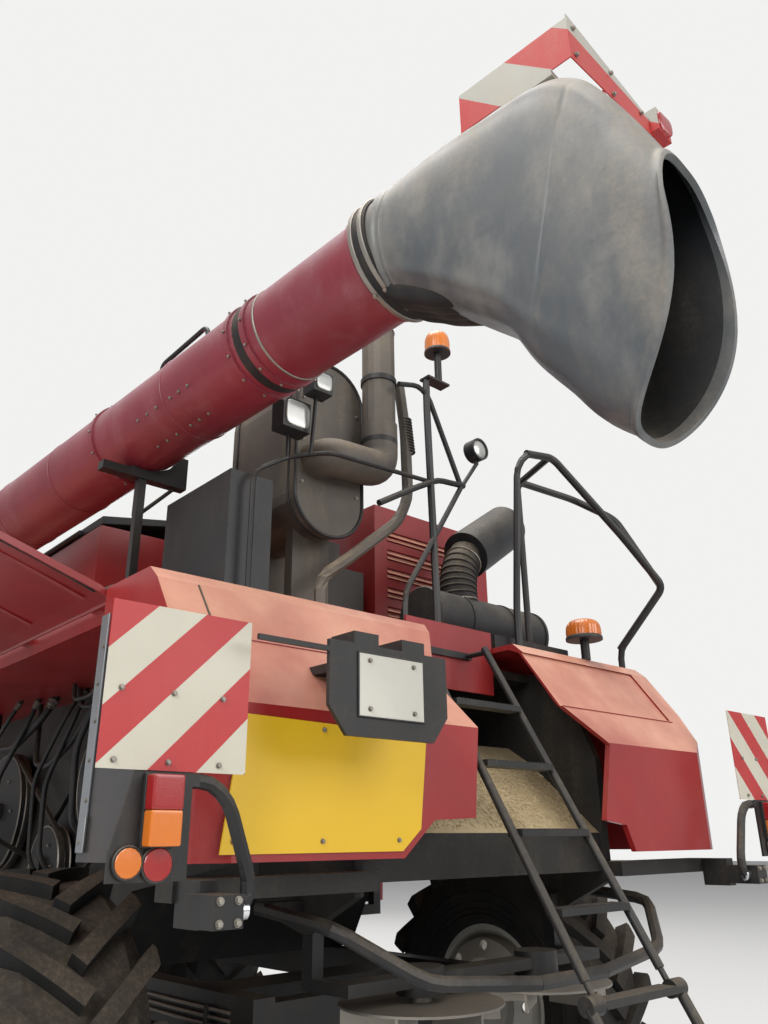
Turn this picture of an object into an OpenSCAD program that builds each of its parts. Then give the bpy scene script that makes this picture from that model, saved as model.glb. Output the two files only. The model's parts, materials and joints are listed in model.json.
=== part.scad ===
// Self-propelled combine harvester without its header, standing parked.
// x runs forward from the front axle, y to the left, z up from the ground.

/* [Layout] */
// Front axle to rear axle
wheelbase = 3800; // [3600:10:4000]
// Front axle to the rear panels' flat face
rear_x = 5150; // [5000:10:5300]
// Width over the side doors
body_w = 2980; // [2900:10:3060]
// Width of the threshing body between its side sheets
core_w = 1500; // [1400:10:1560]
// Height of the deck that the engine stands on
deck_z = 2430; // [2380:5:2480]
// Thickness of the body's sheets and ribs
sheet = 25; // [15:1:35]

/* [Wheels] */
// Diameter of a front tyre over its lugs
front_tyre_d = 1870; // [1800:10:1940]
// Width of a front tyre
front_tyre_w = 780; // [700:10:800]
// Middle of a front tyre from the centre plane
front_tyre_y = 1360; // [1340:5:1400]
// Diameter of a front rim
front_rim_d = 870; // [800:10:900]
// Diameter of a rear tyre over its lugs
rear_tyre_d = 1470; // [1400:10:1500]
// Width of a rear tyre
rear_tyre_w = 540; // [480:10:560]
// Middle of a rear tyre from the centre plane
rear_tyre_y = 1400; // [1380:5:1440]
// Diameter of a rear rim
rear_rim_d = 760; // [700:10:780]
// Height of the tread lugs
lug_h = 48; // [30:1:60]
// Lugs on each side of a tyre
lugs = 18; // [14:1:20]
// King pin from the centre plane
king_y = 930; // [900:5:960]

/* [Feeder house] */
// Width over the feeder's side walls
feeder_w = 1320; // [1200:10:1400]
// Feeder's pivot ahead of the front axle
feeder_x = 720; // [680:5:760]
// Height of the feeder's pivot
feeder_z = 1620; // [1580:5:1660]
// Length from the pivot to the front face
feeder_l = 2150; // [2050:10:2250]
// Slope of the feeder at rest, downward
feeder_a = 24; // [20:1:26]
// Bore of the lift cylinders
lift_bore = 90; // [70:1:110]

/* [Cab] */
// Width of the cab
cab_w = 1960; // [1860:10:2060]
// Height of the cab's floor
cab_z = 2110; // [2080:5:2160]
// Height of the cab without its roof
cab_h = 1560; // [1480:10:1620]
// Rear wall of the cab ahead of the front axle
cab_x = -180; // [-220:5:-140]
// Length of the cab at its floor
cab_l = 1620; // [1500:10:1700]
// Thickness of the cab's posts and walls
cab_t = 60; // [40:1:80]

/* [Grain tank] */
// Front wall of the grain tank from the front axle
tank_x = -330; // [-360:5:-300]
// Length of the grain tank
tank_l = 2300; // [2100:10:2400]
// Top edge of the grain tank
tank_z = 3380; // [3300:10:3400]
// Width of the grain tank's top opening
tank_open_w = 1560; // [1400:10:1600]

/* [Unloader] */
// Outer diameter of the unloading tube
tube_d = 420; // [380:5:440]
// Swivel of the tube behind the front axle
unload_x = -60; // [-90:5:-30]
// Height of the tube's middle at its open end
unload_z = 3620; // [3590:2:3640]
// Tube's open end behind the front axle
unload_end = 5457; // [5420:1:5500]
// Tube's open end from the centre plane
unload_end_y = 918; // [900:2:940]
// Angle of the folded tube in plan
unload_a = 4.8; // [4:0.1:5.5]
// Fall of the tube towards its swivel
unload_b = 3.4; // [2.5:0.1:4]

/* [Rear] */
// Height of the rear panels' lower edge
panel_z = 1500; // [1480:5:1540]
// Side of a square warning board
board = 423; // [400:1:450]
// Rear ladder's width between its tubes
ladder_w = 440; // [400:5:480]
// Rise from rung to rung
rung_h = 254; // [240:1:270]
// Radius of the ladder's tubes
ladder_r = 17; // [14:0.5:20]
// Radius of hand and guard rails
rail_r = 19; // [15:0.5:22]

/* [Hidden] */
eps = 0.3;
core_y = core_w / 2;
side_y = body_w / 2;
front_z = front_tyre_d / 2;
rear_z = rear_tyre_d / 2;
// Front ends of the rear panels and rear end of the deck, behind the front axle.
side_front = 4430;
deck_end = 4640;
fold_z = panel_z + 450;

// A rod of radius r from point a to point b.
module rod(a, b, r) {
  d = b - a;
  l = norm(d);
  translate(a)
    rotate([0, acos(d[2] / l), atan2(d[1], d[0])])
      cylinder(h = l, r = r, $fn = 24);
}

function unit(v) = v / norm(v);

// The points with each inner corner eased by a curve that starts b before it.
function eased(p, b) = [p[0],
  for (i = [1 : 1 : len(p) - 2])
    let (u = unit(p[i - 1] - p[i]), v = unit(p[i + 1] - p[i]))
      for (t = [0, 0.5, 1]) p[i] + b * ((1 - t) * (1 - t) * u + t * t * v),
  p[len(p) - 1]];

// A bent tube of radius r swept along points, with bends eased over b.
module bent(points, r, b = 60, n = 8) {
  p = eased(points, b);
  m = len(p);
  rings = [for (i = [0 : m - 1])
    let (t = unit(p[min(i + 1, m - 1)] - p[max(i - 1, 0)]),
      e = unit(cross(t, [0.577, -0.411, 0.705])), f = cross(t, e))
      for (k = [0 : n - 1]) p[i] + r * (cos(k * 360 / n) * e + sin(k * 360 / n) * f)];
  polyhedron(points = rings, faces = concat(
    [[for (k = [0 : n - 1]) k], [for (k = [n - 1 : -1 : 0]) (m - 1) * n + k]],
    [for (i = [0 : m - 2], k = [0 : n - 1]) let (j = (k + 1) % n)
      each [[i * n + k, (i + 1) * n + k, (i + 1) * n + j], [i * n + k, (i + 1) * n + j, i * n + j]]]));
}

// A slot-shaped outline of length l and width w, along x from -w/2.
function oval(l, w) = concat(
  [for (i = [0 : 12]) [l - w / 2 + w / 2 * sin(i * 15), w / 2 * cos(i * 15)]],
  [for (i = [0 : 12]) [w / 2 - w / 2 * sin(i * 15), -w / 2 * cos(i * 15)]]);

// A side outline [x, z] spread from y0 to y1.
module slab(points, y0, y1) {
  translate([0, y1, 0])
    rotate([90, 0, 0])
      linear_extrude(y1 - y0)
        polygon(points);
}

// A block given by two opposite corners.
module block(a, b) {
  translate(a)
    cube(b - a);
}

module mirrored(side) {
  if (side > 0) children();
  else mirror([0, 1, 0]) children();
}

// An upright shaft or drum about the y axis, from y0 to y1 at [x, z].
module drum(x, z, r, y0, y1) {
  translate([x, y1, z])
    rotate([90, 0, 0])
      cylinder(h = y1 - y0, r = r, $fn = 48);
}

// Tyre about the y axis: a revolved carcass and slanted lugs cut to one tip circle.
module tyre(d, w, rim) {
  r = d / 2;
  base = r - lug_h;
  seat = rim / 2 + eps;
  rotate([90, 0, 0])
    union() {
      rotate_extrude($fn = 48)
        polygon([[seat, -w * 0.38], [seat + 30, -w * 0.42], [base * 0.82, -w * 0.49],
          [base * 0.95, -w * 0.46], [base, -w * 0.34], [base, w * 0.34],
          [base * 0.95, w * 0.46], [base * 0.82, w * 0.49], [seat + 30, w * 0.42],
          [seat, w * 0.38]]);
      intersection() {
        cylinder(h = w, r = r, center = true, $fn = 72);
        for (side = [-1, 1], i = [0 : lugs - 1]) {
          rotate((i + (side > 0 ? 0.5 : 0)) * 360 / lugs)
            translate([0, 0, side * w * 0.25])
              rotate([side * 42, 0, 0])
                translate([base * 0.93, -32, -w * 0.36])
                  cube([r - base * 0.93 + 60, 64, w * 0.72]);
        }
      }
    }
}

// Rim about the y axis with a dished disc, the hub towards -y.
module rim(d, w, dish, hub_r, studs) {
  rotate([90, 0, 0])
    difference() {
      rotate_extrude($fn = 72)
        polygon([[d / 2, -w / 2], [d / 2, w / 2], [d / 2 - 22, w / 2],
          [d / 2 - 60, w / 2 - 60], [d / 2 - 70, dish + 14], [d * 0.28, dish + 40],
          [hub_r + 25, dish + 14], [0, dish + 14], [0, dish], [hub_r + 30, dish],
          [d * 0.29, dish + 22], [d / 2 - 84, dish - 6], [d / 2 - 78, -w / 2 + 60],
          [d / 2 - 40, -w / 2]]);
      for (i = [0 : studs - 1]) {
        rotate(i * 360 / studs)
          translate([d * 0.36, 0, dish - 40])
            cylinder(h = 120, r = 26, $fn = 24);
      }
    }
}

module front_wheel_place(side) {
  mirrored(side)
    translate([0, front_tyre_y, front_z])
      children();
}

module rear_wheel_place(side) {
  mirrored(side)
    translate([-wheelbase, rear_tyre_y, rear_z])
      children();
}

module front_tyre_left() {
  color("#2b2b2b") front_wheel_place(1) tyre(front_tyre_d, front_tyre_w, front_rim_d);
}

module front_tyre_right() {
  color("#2b2b2b") front_wheel_place(-1) tyre(front_tyre_d, front_tyre_w, front_rim_d);
}

module rear_tyre_left() {
  color("#2b2b2b") rear_wheel_place(1) tyre(rear_tyre_d, rear_tyre_w, rear_rim_d);
}

module rear_tyre_right() {
  color("#2b2b2b") rear_wheel_place(-1) tyre(rear_tyre_d, rear_tyre_w, rear_rim_d);
}

front_hub_y = 960;
rear_hub_y = 1180;
// Disc's place along the axle, measured from the middle of the tyre.
front_dish = front_tyre_y - front_hub_y - 14;
rear_dish = rear_tyre_y - rear_hub_y - 14;

module front_rim() {
  front_wheel_place(1) rim(front_rim_d, front_tyre_w * 0.76, front_dish, 190, 10);
  drum(0, front_z, 150, front_hub_y - 0.1, front_hub_y + 120);
}

module rear_rim() {
  rear_wheel_place(1) rim(rear_rim_d, rear_tyre_w * 0.76, rear_dish, 120, 8);
  drum(-wheelbase, rear_z, 95, rear_hub_y - 0.1, rear_hub_y + 100);
}

module front_rim_left() {
  color("#c9c4b8") front_rim();
}

module front_rim_right() {
  color("#c9c4b8") mirrored(-1) front_rim();
}

module rear_rim_left() {
  color("#c9c4b8") rear_rim();
}

module rear_rim_right() {
  color("#c9c4b8") mirrored(-1) rear_rim();
}

rail_y = core_y - 170;
core_bottom = 1000;

frame_end = wheelbase + 500;

// Frame rails, front axle beam with its final drives, and the rear hitch.
module chassis() {
  z0 = core_bottom - 160;
  y0 = rail_y - eps;
  color("#3a3a3c") {
    for (side = [-1, 1]) mirrored(side) {
      block([-frame_end, rail_y, z0], [-170 - eps, rail_y + 100, core_bottom]);
      block([170 + eps, rail_y, z0], [440, rail_y + 100, core_bottom]);
      for (y = [lift_y - 60, lift_y + 31]) {
        slab([[160, 825], [160, 980], [300, 940], [380, lift_foot[1] + 20],
          [380, lift_foot[1] - 30], [330, 825]], y, y + 29);
      }
      drum(lift_foot[0], lift_foot[1], 25, lift_y - 60, lift_y + 60);
      drum(0, front_z, 215, 840, front_hub_y - 20);
      drum(0, front_z, 120, front_hub_y - 20, front_hub_y - eps);
    }
    block([-170, -900, core_bottom - 180], [170, 900, core_bottom]);
    block([-frame_end, -y0, z0], [-wheelbase - 400, y0, core_bottom - 20]);
    block([-1900, -y0, z0], [-1780, y0, core_bottom - 20]);
    block([-wheelbase - 130, -120, rear_z + 100 + eps],
      [-wheelbase + 130, 120, core_bottom - 20]);
    block([-wheelbase - 130, -y0, core_bottom - 100],
      [-wheelbase + 130, y0, core_bottom - 20]);
    difference() {
      block([-wheelbase - 620, -70, core_bottom - 250],
        [-wheelbase - 400, 70, core_bottom - 70]);
      block([-wheelbase - 660, -80, core_bottom - 210],
        [-wheelbase - 480, 80, core_bottom - 110]);
      translate([-wheelbase - 550, 0, core_bottom - 300])
        cylinder(h = 300, r = 16, $fn = 32);
    }
  }
}

// Steered rear axle beam, with the king pins at its ends.
module rear_axle() {
  color("#3a3a3c") {
    block([-wheelbase - 90, -king_y + 170, rear_z - 100],
      [-wheelbase + 90, king_y - 170, rear_z + 100]);
    for (side = [-1, 1]) mirrored(side) {
      for (z = [rear_z - 100, rear_z + 60]) {
        difference() {
          union() {
            block([-wheelbase - 60, king_y - 180, z], [-wheelbase + 60, king_y, z + 40]);
            translate([-wheelbase, king_y, z])
              cylinder(h = 40, r = 60, $fn = 40);
          }
          translate([-wheelbase, king_y, z - 1])
            cylinder(h = 42, r = 25.1, $fn = 32);
        }
      }
    }
  }
}

arm_x = -wheelbase + 300;
arm_y = king_y;

// Steering knuckle: king pin post, stub axle and steering arm with its tie rod pin.
module knuckle() {
  translate([-wheelbase, king_y, rear_z - 59.7])
    cylinder(h = 119.4, r = 55, $fn = 40);
  translate([-wheelbase, king_y, rear_z - 130])
    cylinder(h = 260, r = 25, $fn = 32);
  drum(-wheelbase, rear_z, 50, king_y + 20, rear_hub_y - 40);
  drum(-wheelbase, rear_z, 85, rear_hub_y - 60, rear_hub_y - eps);
  block([-wheelbase + 30, king_y - 35, rear_z - 30], [arm_x, king_y + 35, rear_z + 10]);
  translate([arm_x, arm_y, rear_z - 30])
    cylinder(h = 40, r = 38, $fn = 32);
  translate([arm_x, arm_y, rear_z - 80])
    cylinder(h = 60, r = 14, $fn = 24);
}

module knuckle_left() {
  color("#4b4b4e") knuckle();
}

module knuckle_right() {
  color("#4b4b4e") mirrored(-1) knuckle();
}

// Tie rod below the steering arms, with an eye round each arm's pin.
module tie_rod() {
  color("#57575a") {
    for (side = [-1, 1]) mirrored(side) {
      difference() {
        translate([arm_x, arm_y, rear_z - 78])
          cylinder(h = 47.7, r = 34, $fn = 32);
        translate([arm_x, arm_y, rear_z - 90])
          cylinder(h = 70, r = 14.1, $fn = 32);
      }
    }
    difference() {
      rod([arm_x, -arm_y, rear_z - 58], [arm_x, arm_y, rear_z - 58], 18);
      for (side = [-1, 1]) {
        translate([arm_x, side * arm_y, rear_z - 90])
          cylinder(h = 60, r = 33, $fn = 32);
      }
    }
  }
}

core_out = [[660, 1030], [900, 1700], [900, 2040], [640, 2080], [-300, 2080], [-380, 2340],
  [-4400, 2340], [-4400, 1500], [-3350, 1350], [-3150, core_bottom],
  [460, core_bottom]];
// Roof and floor plates between the side sheets, front to back: the outer face, then the inner.
core_plates = [[[900, 2040], [640, 2080], [560, 2045], [900, 2004.7]],
  [[640, 2080], [-300, 2080], [-300, 2040], [560, 2045]],
  [[-300, 2080], [-380, 2340], [-420, 2300], [-300, 2040]],
  [[-380, 2340], [-4400, 2340], [-4400, 2300], [-420, 2300]],
  [[-4400, 1500], [-3350, 1350], [-3330, 1390], [-4400, 1540]],
  [[-3350, 1350], [-3150, core_bottom], [-3120, core_bottom + 40], [-3330, 1390]],
  [[-3150, core_bottom], [460, core_bottom], [440, core_bottom + 40],
    [-3120, core_bottom + 40]],
  [[460, core_bottom], [660, 1030], [670.6, 1059.5], [440, core_bottom + 40]]];

// Threshing body between the side sheets: open to the feeder in front, to the hood behind.
module threshing_body() {
  color("#8e1c1f") {
    y1 = core_y - sheet - eps;
    for (side = [-1, 1]) mirrored(side) {
      slab(core_out, core_y - sheet, core_y);
    }
    for (p = core_plates) {
      u = eps / 2 * unit(p[1] - p[0]);
      v = eps / 2 * unit(p[3] - p[2]);
      slab([p[0] + u, p[1] - u, p[2] + v, p[3] - v], -y1, y1);
    }
    for (d = [[-250, 1480, 280], [-1400, 1620, 380], [-3500, 1800, 280]]) {
      drum(d[0], d[1], d[2], -y1, y1);
    }
  }
}

feeder_y = feeder_w / 2;

// Places a shape drawn along +x from the pivot at the feeder's slope at rest.
module feeder_place() {
  translate([feeder_x, 0, feeder_z])
    rotate([0, feeder_a, 0])
      children();
}

feeder_side = [[140, -330], [140, 330], [700, 330], [feeder_l, 250], [feeder_l, -420],
  [600, -420]];

// Feeder house: four walls, pivot trunnions and the header's seat and latch plates.
module feeder_house() {
  color("#9c1e22") feeder_place() {
    difference() {
      slab(feeder_side, -feeder_y, feeder_y);
      slab([[100, -290], [100, 290], [700, 290], [feeder_l + 10, 210],
        [feeder_l + 10, -380], [600, -380]], -feeder_y + sheet, feeder_y - sheet);
    }
    for (side = [-1, 1]) mirrored(side) {
      block([-40, feeder_y - 50, -60], [160, feeder_y - 10, 60]);
      drum(0, 0, 60, feeder_y - 50, feeder_y - 10);
      drum(0, 0, 30, feeder_y - 60, core_y - sheet - eps);
      block([feeder_l - 60, feeder_y, -420], [feeder_l, feeder_y + 60, 330]);
      block([feeder_l - 160, feeder_y - 160, -460], [feeder_l, feeder_y - 100, -420]);
      drum(620, -470, 50, lift_y - 70, lift_y - 32);
      drum(620, -470, 50, lift_y + 32, lift_y + 70);
      block([560, lift_y - 70, -470], [680, lift_y - 32, -400]);
      block([560, lift_y + 32, -470], [680, lift_y + 70, -400]);
    }
    block([feeder_l - 60, -feeder_y - 60, 250], [feeder_l, feeder_y + 60, 330]);
    for (d = [chain_rear, chain_front]) {
      drum(d[0], d[1], chain_r, -560, 560);
      drum(d[0], d[1], 35, -feeder_y + sheet - 5, feeder_y - sheet + 5);
    }
  }
}

// Rear and front drums of the feeder chain in the feeder's own frame: [x, z], and their radius.
chain_rear = [400, -15];
chain_front = [feeder_l - 300, -75];
chain_r = 130;
chain_l = norm(chain_front - chain_rear);

// Places a shape drawn from the rear drum's axis towards the front drum's.
module chain_place() {
  translate([chain_rear[0], 0, chain_rear[1]])
    rotate([0, asin((chain_rear[1] - chain_front[1]) / chain_l), 0])
      children();
}

// Feeder chain: three strands round the two drums, joined by slats.
module feeder_chain() {
  color("#77736b") feeder_place() chain_place() {
    for (y = [-480, 0, 480]) {
      translate([-chain_r - 16, y + 22, 0])
        rotate([90, 0, 0])
          linear_extrude(44)
            difference() {
              polygon(oval(chain_l + 2 * chain_r + 32, 2 * chain_r + 32));
              translate([14.4, 0])
                polygon(oval(chain_l + 2 * chain_r + 3.2, 2 * chain_r + 3.2));
            }
    }
    for (i = [0 : 8]) {
      x = i * (chain_l - 30) / 8;
      block([x, -570, chain_r + 8], [x + 30, 570, chain_r + 50]);
      block([x, -570, -chain_r - 50], [x + 30, 570, -chain_r - 8]);
    }
  }
}

lift_y = 480;
lift_foot = [330, core_bottom - 130];
// Lift cylinders' upper pins in the feeder's own frame are at [620, -470].
lift_eye = [feeder_x + 620 * cos(feeder_a) - 470 * sin(feeder_a),
  feeder_z - 620 * sin(feeder_a) - 470 * cos(feeder_a)];
lift_d = lift_eye - lift_foot;
lift_len = norm(lift_d);
lift_u = lift_d / lift_len;

function lift_at(s) = [lift_foot[0] + s * lift_u[0], 0, lift_foot[1] + s * lift_u[1]];

// Barrel of one lift cylinder, from its foot pin, with a bore for the rod.
module lift_barrel(y) {
  translate([0, y, 0]) {
    difference() {
      rod(lift_at(60), lift_at(lift_len * 0.72), lift_bore / 2 + 15);
      rod(lift_at(120), lift_at(lift_len), 30.5);
    }
    difference() {
      union() {
        drum(lift_foot[0], lift_foot[1], 55, -30, 30);
        rod(lift_at(20), lift_at(65), 27);
      }
      drum(lift_foot[0], lift_foot[1], 25.3, -40, 40);
    }
  }
}

module lift_rod(y) {
  translate([0, y, 0]) {
    rod(lift_at(lift_len * 0.4), lift_at(lift_len - 40), 30);
    difference() {
      drum(lift_eye[0], lift_eye[1], 48, -31, 31);
      drum(lift_eye[0], lift_eye[1], 20, -40, 40);
    }
  }
}

module lift_barrel_left() {
  color("#3a3a3c") lift_barrel(lift_y);
}

module lift_barrel_right() {
  color("#3a3a3c") lift_barrel(-lift_y);
}

module lift_rod_left() {
  color("#d5d7d9") lift_rod(lift_y);
}

module lift_rod_right() {
  color("#d5d7d9") lift_rod(-lift_y);
}

cab_y = cab_w / 2;
cab_top = cab_z + cab_h;
cab_side = [[cab_x, cab_z], [cab_x, cab_top], [cab_x + cab_l - 60, cab_top],
  [cab_x + cab_l + 130, cab_z + 700], [cab_x + cab_l, cab_z]];
cab_side_in = [[cab_x + cab_t, cab_z + 30], [cab_x + cab_t, cab_top - 30],
  [cab_x + cab_l - 60 - cab_t, cab_top - 30],
  [cab_x + cab_l + 130 - cab_t, cab_z + 700], [cab_x + cab_l - cab_t, cab_z + 30]];
door_x0 = cab_x + 480;
door_x1 = cab_x + cab_l - 100;
door_side = [[door_x0, cab_z + 60], [door_x0, cab_top - 80], [door_x1 - 40, cab_top - 80],
  [door_x1 + 60, cab_z + 700], [door_x1, cab_z + 60]];
door_in = [[door_x0 + 60, cab_z + 130], [door_x0 + 60, cab_top - 150],
  [door_x1 - 100, cab_top - 150], [door_x1 - 5, cab_z + 700], [door_x1 - 60, cab_z + 130]];

// Cab: floor, posts, rear wall and roof, hollow, with its windows cut.
module cab() {
  color("#8e1c1f") {
    difference() {
      slab(cab_side, -cab_y, cab_y);
      slab(cab_side_in, -cab_y + cab_t, cab_y - cab_t);
      slab([[door_x0 - 5, cab_z + 55], [door_x0 - 5, cab_top - 75],
        [door_x1 - 37, cab_top - 75], [door_x1 + 66, cab_z + 700],
        [door_x1 + 5, cab_z + 55]], cab_y - cab_t - 1, cab_y + 1);
      slab(door_in, -cab_y - 1, -cab_y + cab_t + 1);
      block([cab_x + cab_l - 400, -cab_y + 90, cab_z + 120],
        [cab_x + cab_l + 200, cab_y - 90, cab_top - 120]);
      block([cab_x - 1, -cab_y + 140, cab_z + 700],
        [cab_x + cab_t + 1, cab_y - 140, cab_top - 140]);
      block([cab_x + 120, cab_y - cab_t - 1, cab_z + 560],
        [door_x0 - 70, cab_y + 1, cab_top - 150]);
      for (side = [-1, 1]) mirrored(side) {
        block([cab_x - 1, cab_y - cab_t - eps, cab_z - 1],
          [cab_x + cab_l + 200, cab_y - cab_t, cab_top + 1]);
      }
      for (z = [cab_z + 30, cab_top - 30 - eps]) {
        block([cab_x - 1, -cab_y + cab_t, z], [cab_x + cab_l + 200, cab_y - cab_t, z + eps]);
      }
      block([cab_x + cab_l - 200, -cab_y + cab_t, cab_z + 700],
        [cab_x + cab_l + 200, cab_y - cab_t, cab_z + 700 + eps]);
    }
    slab([[cab_x - 60, cab_top + eps], [cab_x - 20, cab_top + 130], [cab_x + 900, cab_top + 190],
      [cab_x + cab_l + 60, cab_top + 150], [cab_x + cab_l + 240, cab_top + 60],
      [cab_x + cab_l + 240, cab_top + eps]], -cab_y - 60, cab_y + 60);
    for (side = [-1, 1]) mirrored(side) {
      block([cab_x + 100, cab_y - 260, 2080], [cab_x + cab_l - 200, cab_y - 160, cab_z]);
    }
    block([cab_x + 100, cab_y, cab_z - 60], [cab_x + cab_l + 90, side_y, cab_z - 20]);
    block([cab_x + 100, cab_y - 60, cab_z - 60], [cab_x + cab_l - 200, cab_y, cab_z - eps]);
    bent([[cab_x + cab_l + 60, side_y - 290, cab_z - 30],
      [cab_x + cab_l + 60, side_y - 290, cab_z + 900],
      [cab_x + cab_l + 60, side_y - 30, cab_z + 900],
      [cab_x + cab_l + 60, side_y - 30, cab_z - 30]], rail_r);
    block([step_x0 - 30, side_y - 60, cab_z - 290], [step_x0 + 30, side_y - 40, cab_z - 40]);
    for (z = [cab_z - 290, cab_z - 99.7]) {
      block([step_x0 - 30, side_y - 60, z], [step_x0 + 24, side_y + 44, z + 29.7]);
    }
  }
}

// Window panes, set in the cab's openings.
module cab_glass() {
  color("#9fb7bd") {
    slab([[cab_x + cab_l - 66, cab_z + 120.3], [cab_x + cab_l - 40, cab_z + 120.3],
      [cab_x + cab_l + 95, cab_z + 700], [cab_x + cab_l + 66, cab_z + 700]],
      -cab_y + 90.3, cab_y - 90.3);
    slab([[cab_x + cab_l + 95, cab_z + 700 + eps], [cab_x + cab_l - 95, cab_top - 120.3],
      [cab_x + cab_l - 121, cab_top - 120.3], [cab_x + cab_l + 66, cab_z + 700 + eps]],
      -cab_y + 90.3, cab_y - 90.3);
    block([cab_x + 20, -cab_y + 140.3, cab_z + 700.3],
      [cab_x + 30, cab_y - 140.3, cab_top - 140.3]);
    slab([[door_x0 + 60.3, cab_z + 130.3], [door_x0 + 60.3, cab_top - 150.3],
      [door_x1 - 100.3, cab_top - 150.3], [door_x1 - 5.4, cab_z + 700],
      [door_x1 - 60.4, cab_z + 130.3]], -cab_y + 20, -cab_y + 28);
    block([cab_x + 120.3, cab_y - 30, cab_z + 560.3],
      [door_x0 - 70.3, cab_y - 22, cab_top - 150.3]);
  }
}

// Cab door on the left, its frame and pane as one leaf hinged at the rear edge.
module cab_door() {
  color("#5d1416") {
    difference() {
      slab(door_side, cab_y - cab_t + 10, cab_y);
      slab(door_in, cab_y - cab_t, cab_y + 10);
    }
    slab(door_in, cab_y - cab_t + 28, cab_y - cab_t + 36);
    for (z = [cab_z + 350, cab_z + 1150]) {
      translate([door_x0 - 2.5, cab_y + 13 + eps, z])
        cylinder(h = 90, r = 13, $fn = 24);
      block([door_x0 - 2, cab_y - 4, z + 10], [door_x0 + 50, cab_y + 10, z + 80]);
    }
    block([door_x1 - 60, cab_y - 4, cab_z + 520], [door_x1 - 20, cab_y + 50, cab_z + 680]);
  }
}

// Seat, steering column and arm console inside the cab.
module cab_seat() {
  color("#2f2f31") {
    block([cab_x + 520, -160, cab_z + 30], [cab_x + 820, 160, cab_z + 330]);
    block([cab_x + 430, -260, cab_z + 330], [cab_x + 940, 260, cab_z + 450]);
    slab([[cab_x + 430, cab_z + 450], [cab_x + 330, cab_z + 1080],
      [cab_x + 430, cab_z + 1100], [cab_x + 560, cab_z + 450]], -250, 250);
    block([cab_x + 480, -420, cab_z + 480], [cab_x + 1000, -300, cab_z + 560]);
    block([cab_x + 480, -320, cab_z + 380], [cab_x + 560, -260, cab_z + 560]);
    rod([cab_x + 1330, 0, cab_z + 44], [cab_x + 1120, 0, cab_z + 728], 45);
    translate([cab_x + 1120, 0, cab_z + 730])
      rotate([0, -17, 0])
        rotate_extrude($fn = 48)
          translate([190, 0])
            circle(r = 14, $fn = 12);
    translate([cab_x + 1120, 0, cab_z + 730])
      rotate([0, -17, 0])
        block([-20, -190, -8], [20, 190, 8]);
  }
}

step_x0 = front_z + 160;

// Cab ladder in front of the left wheel, hinged on an upright pin at the platform.
module cab_ladder() {
  color("#2f2f31") {
    for (x = [step_x0 + 35, step_x0 + 420]) {
      slab([[x, cab_z - 70], [x + 30, cab_z - 70], [x + 30, 520], [x, 520]], 1520, 1600);
    }
    for (i = [0 : 4]) {
      block([step_x0 + 30, 1500, 530 + i * 330], [step_x0 + 440, 1660, 560 + i * 330]);
    }
    translate([step_x0, 1520, cab_z - 260])
      cylinder(h = 160, r = 20, $fn = 24);
    block([step_x0, 1510, cab_z - 240], [step_x0 + 50, 1530, cab_z - 120]);
  }
}

tank_x1 = tank_x - tank_l;

// Grain tank: sloped lower walls and an open top under the covers.
module grain_tank() {
  color("#9c1e22") {
    difference() {
      slab([[tank_x, 2340], [tank_x, tank_z], [tank_x1, tank_z], [tank_x1, 2340]],
        -side_y + 60, side_y - 60);
      slab([[tank_x - 40, tank_z + 1], [tank_x - 40, 3000], [tank_x - 700, 2420],
        [tank_x1 + 500, 2420], [tank_x1 + 40, 3000], [tank_x1 + 40, tank_z + 1]],
        -tank_open_w / 2, tank_open_w / 2);
      block([tank_x1 - 1, tank_open_w / 2 + 40, 2900],
        [tank_x + 1, side_y, tank_z + 1]);
    }
    hinge_lugs(door_f);
    for (side = [-1, 1]) mirrored(side) {
      for (x = [tank_x - 400, tank_x1 + 400]) {
        block([x - 40, tank_open_w / 2 + 5, tank_z], [x + 40, tank_open_w / 2 + 35, tank_z + 10]);
      }
    }
  }
}

// One cover over half of the tank, pitched up to the middle.
module tank_cover(side) {
  mirrored(side) {
    difference() {
      translate([tank_x1, 0, 0])
        rotate([90, 0, 90])
          linear_extrude(tank_l)
            polygon([[5, tank_z + 205], [5, tank_z + 170], [tank_open_w / 2 + 35, tank_z + 10.3],
              [tank_open_w / 2 + 35, tank_z + 60]]);
      block([tank_x1 + 40, 0, tank_z], [tank_x - 40, 1, tank_z + 1]);
    }
    rod([tank_x1 + 300, tank_open_w / 2 + 50, tank_z + 32],
      [tank_x - 300, tank_open_w / 2 + 50, tank_z + 32], 16);
  }
}

module tank_cover_left() {
  color("#2f2f31") tank_cover(1);
}

module tank_cover_right() {
  color("#2f2f31") tank_cover(-1);
}

// Lugs that a pair of side doors hinge on, between the body's edge and the doors' tubes.
module hinge_lugs(span) {
  for (side = [-1, 1]) mirrored(side) {
    for (i = [0 : 2]) {
      x = span[1] + 120 + i * (span[0] - span[1] - 320) / 2;
      block([x, side_y - 61, hinge_z - 12], [x + 80, hinge_y - 9.3, hinge_z + 12]);
    }
  }
}

// Red pan, rear apron and cooler housing that the engine's outer pieces stand on.
module engine_deck() {
  color("#9c1e22") {
    block([-side_front + eps, -side_y + 60, deck_z - 90], [tank_x1 - eps, side_y - 60, deck_z]);
    block([-deck_end, -414.7, deck_z - 90], [-side_front + eps, 164.7, deck_z]);
    block([-deck_end, -414.7, 2206], [-deck_end + 12, 164.7, deck_z + 85]);
    hinge_lugs(door_r);
    difference() {
      block([-3760, -side_y + 60, deck_z], [tank_x1 - 70, -420, deck_z + 1060]);
      for (i = [0 : 6]) {
        block([-3761, -side_y + 160, deck_z + 120 + i * 120],
          [-3745, -520, deck_z + 190 + i * 120]);
      }
      translate([-3230, -side_y + 59, deck_z + 560])
        rotate([-90, 0, 0])
          cylinder(h = 40, r = 430, $fn = 64);
    }
  }
}

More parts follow.
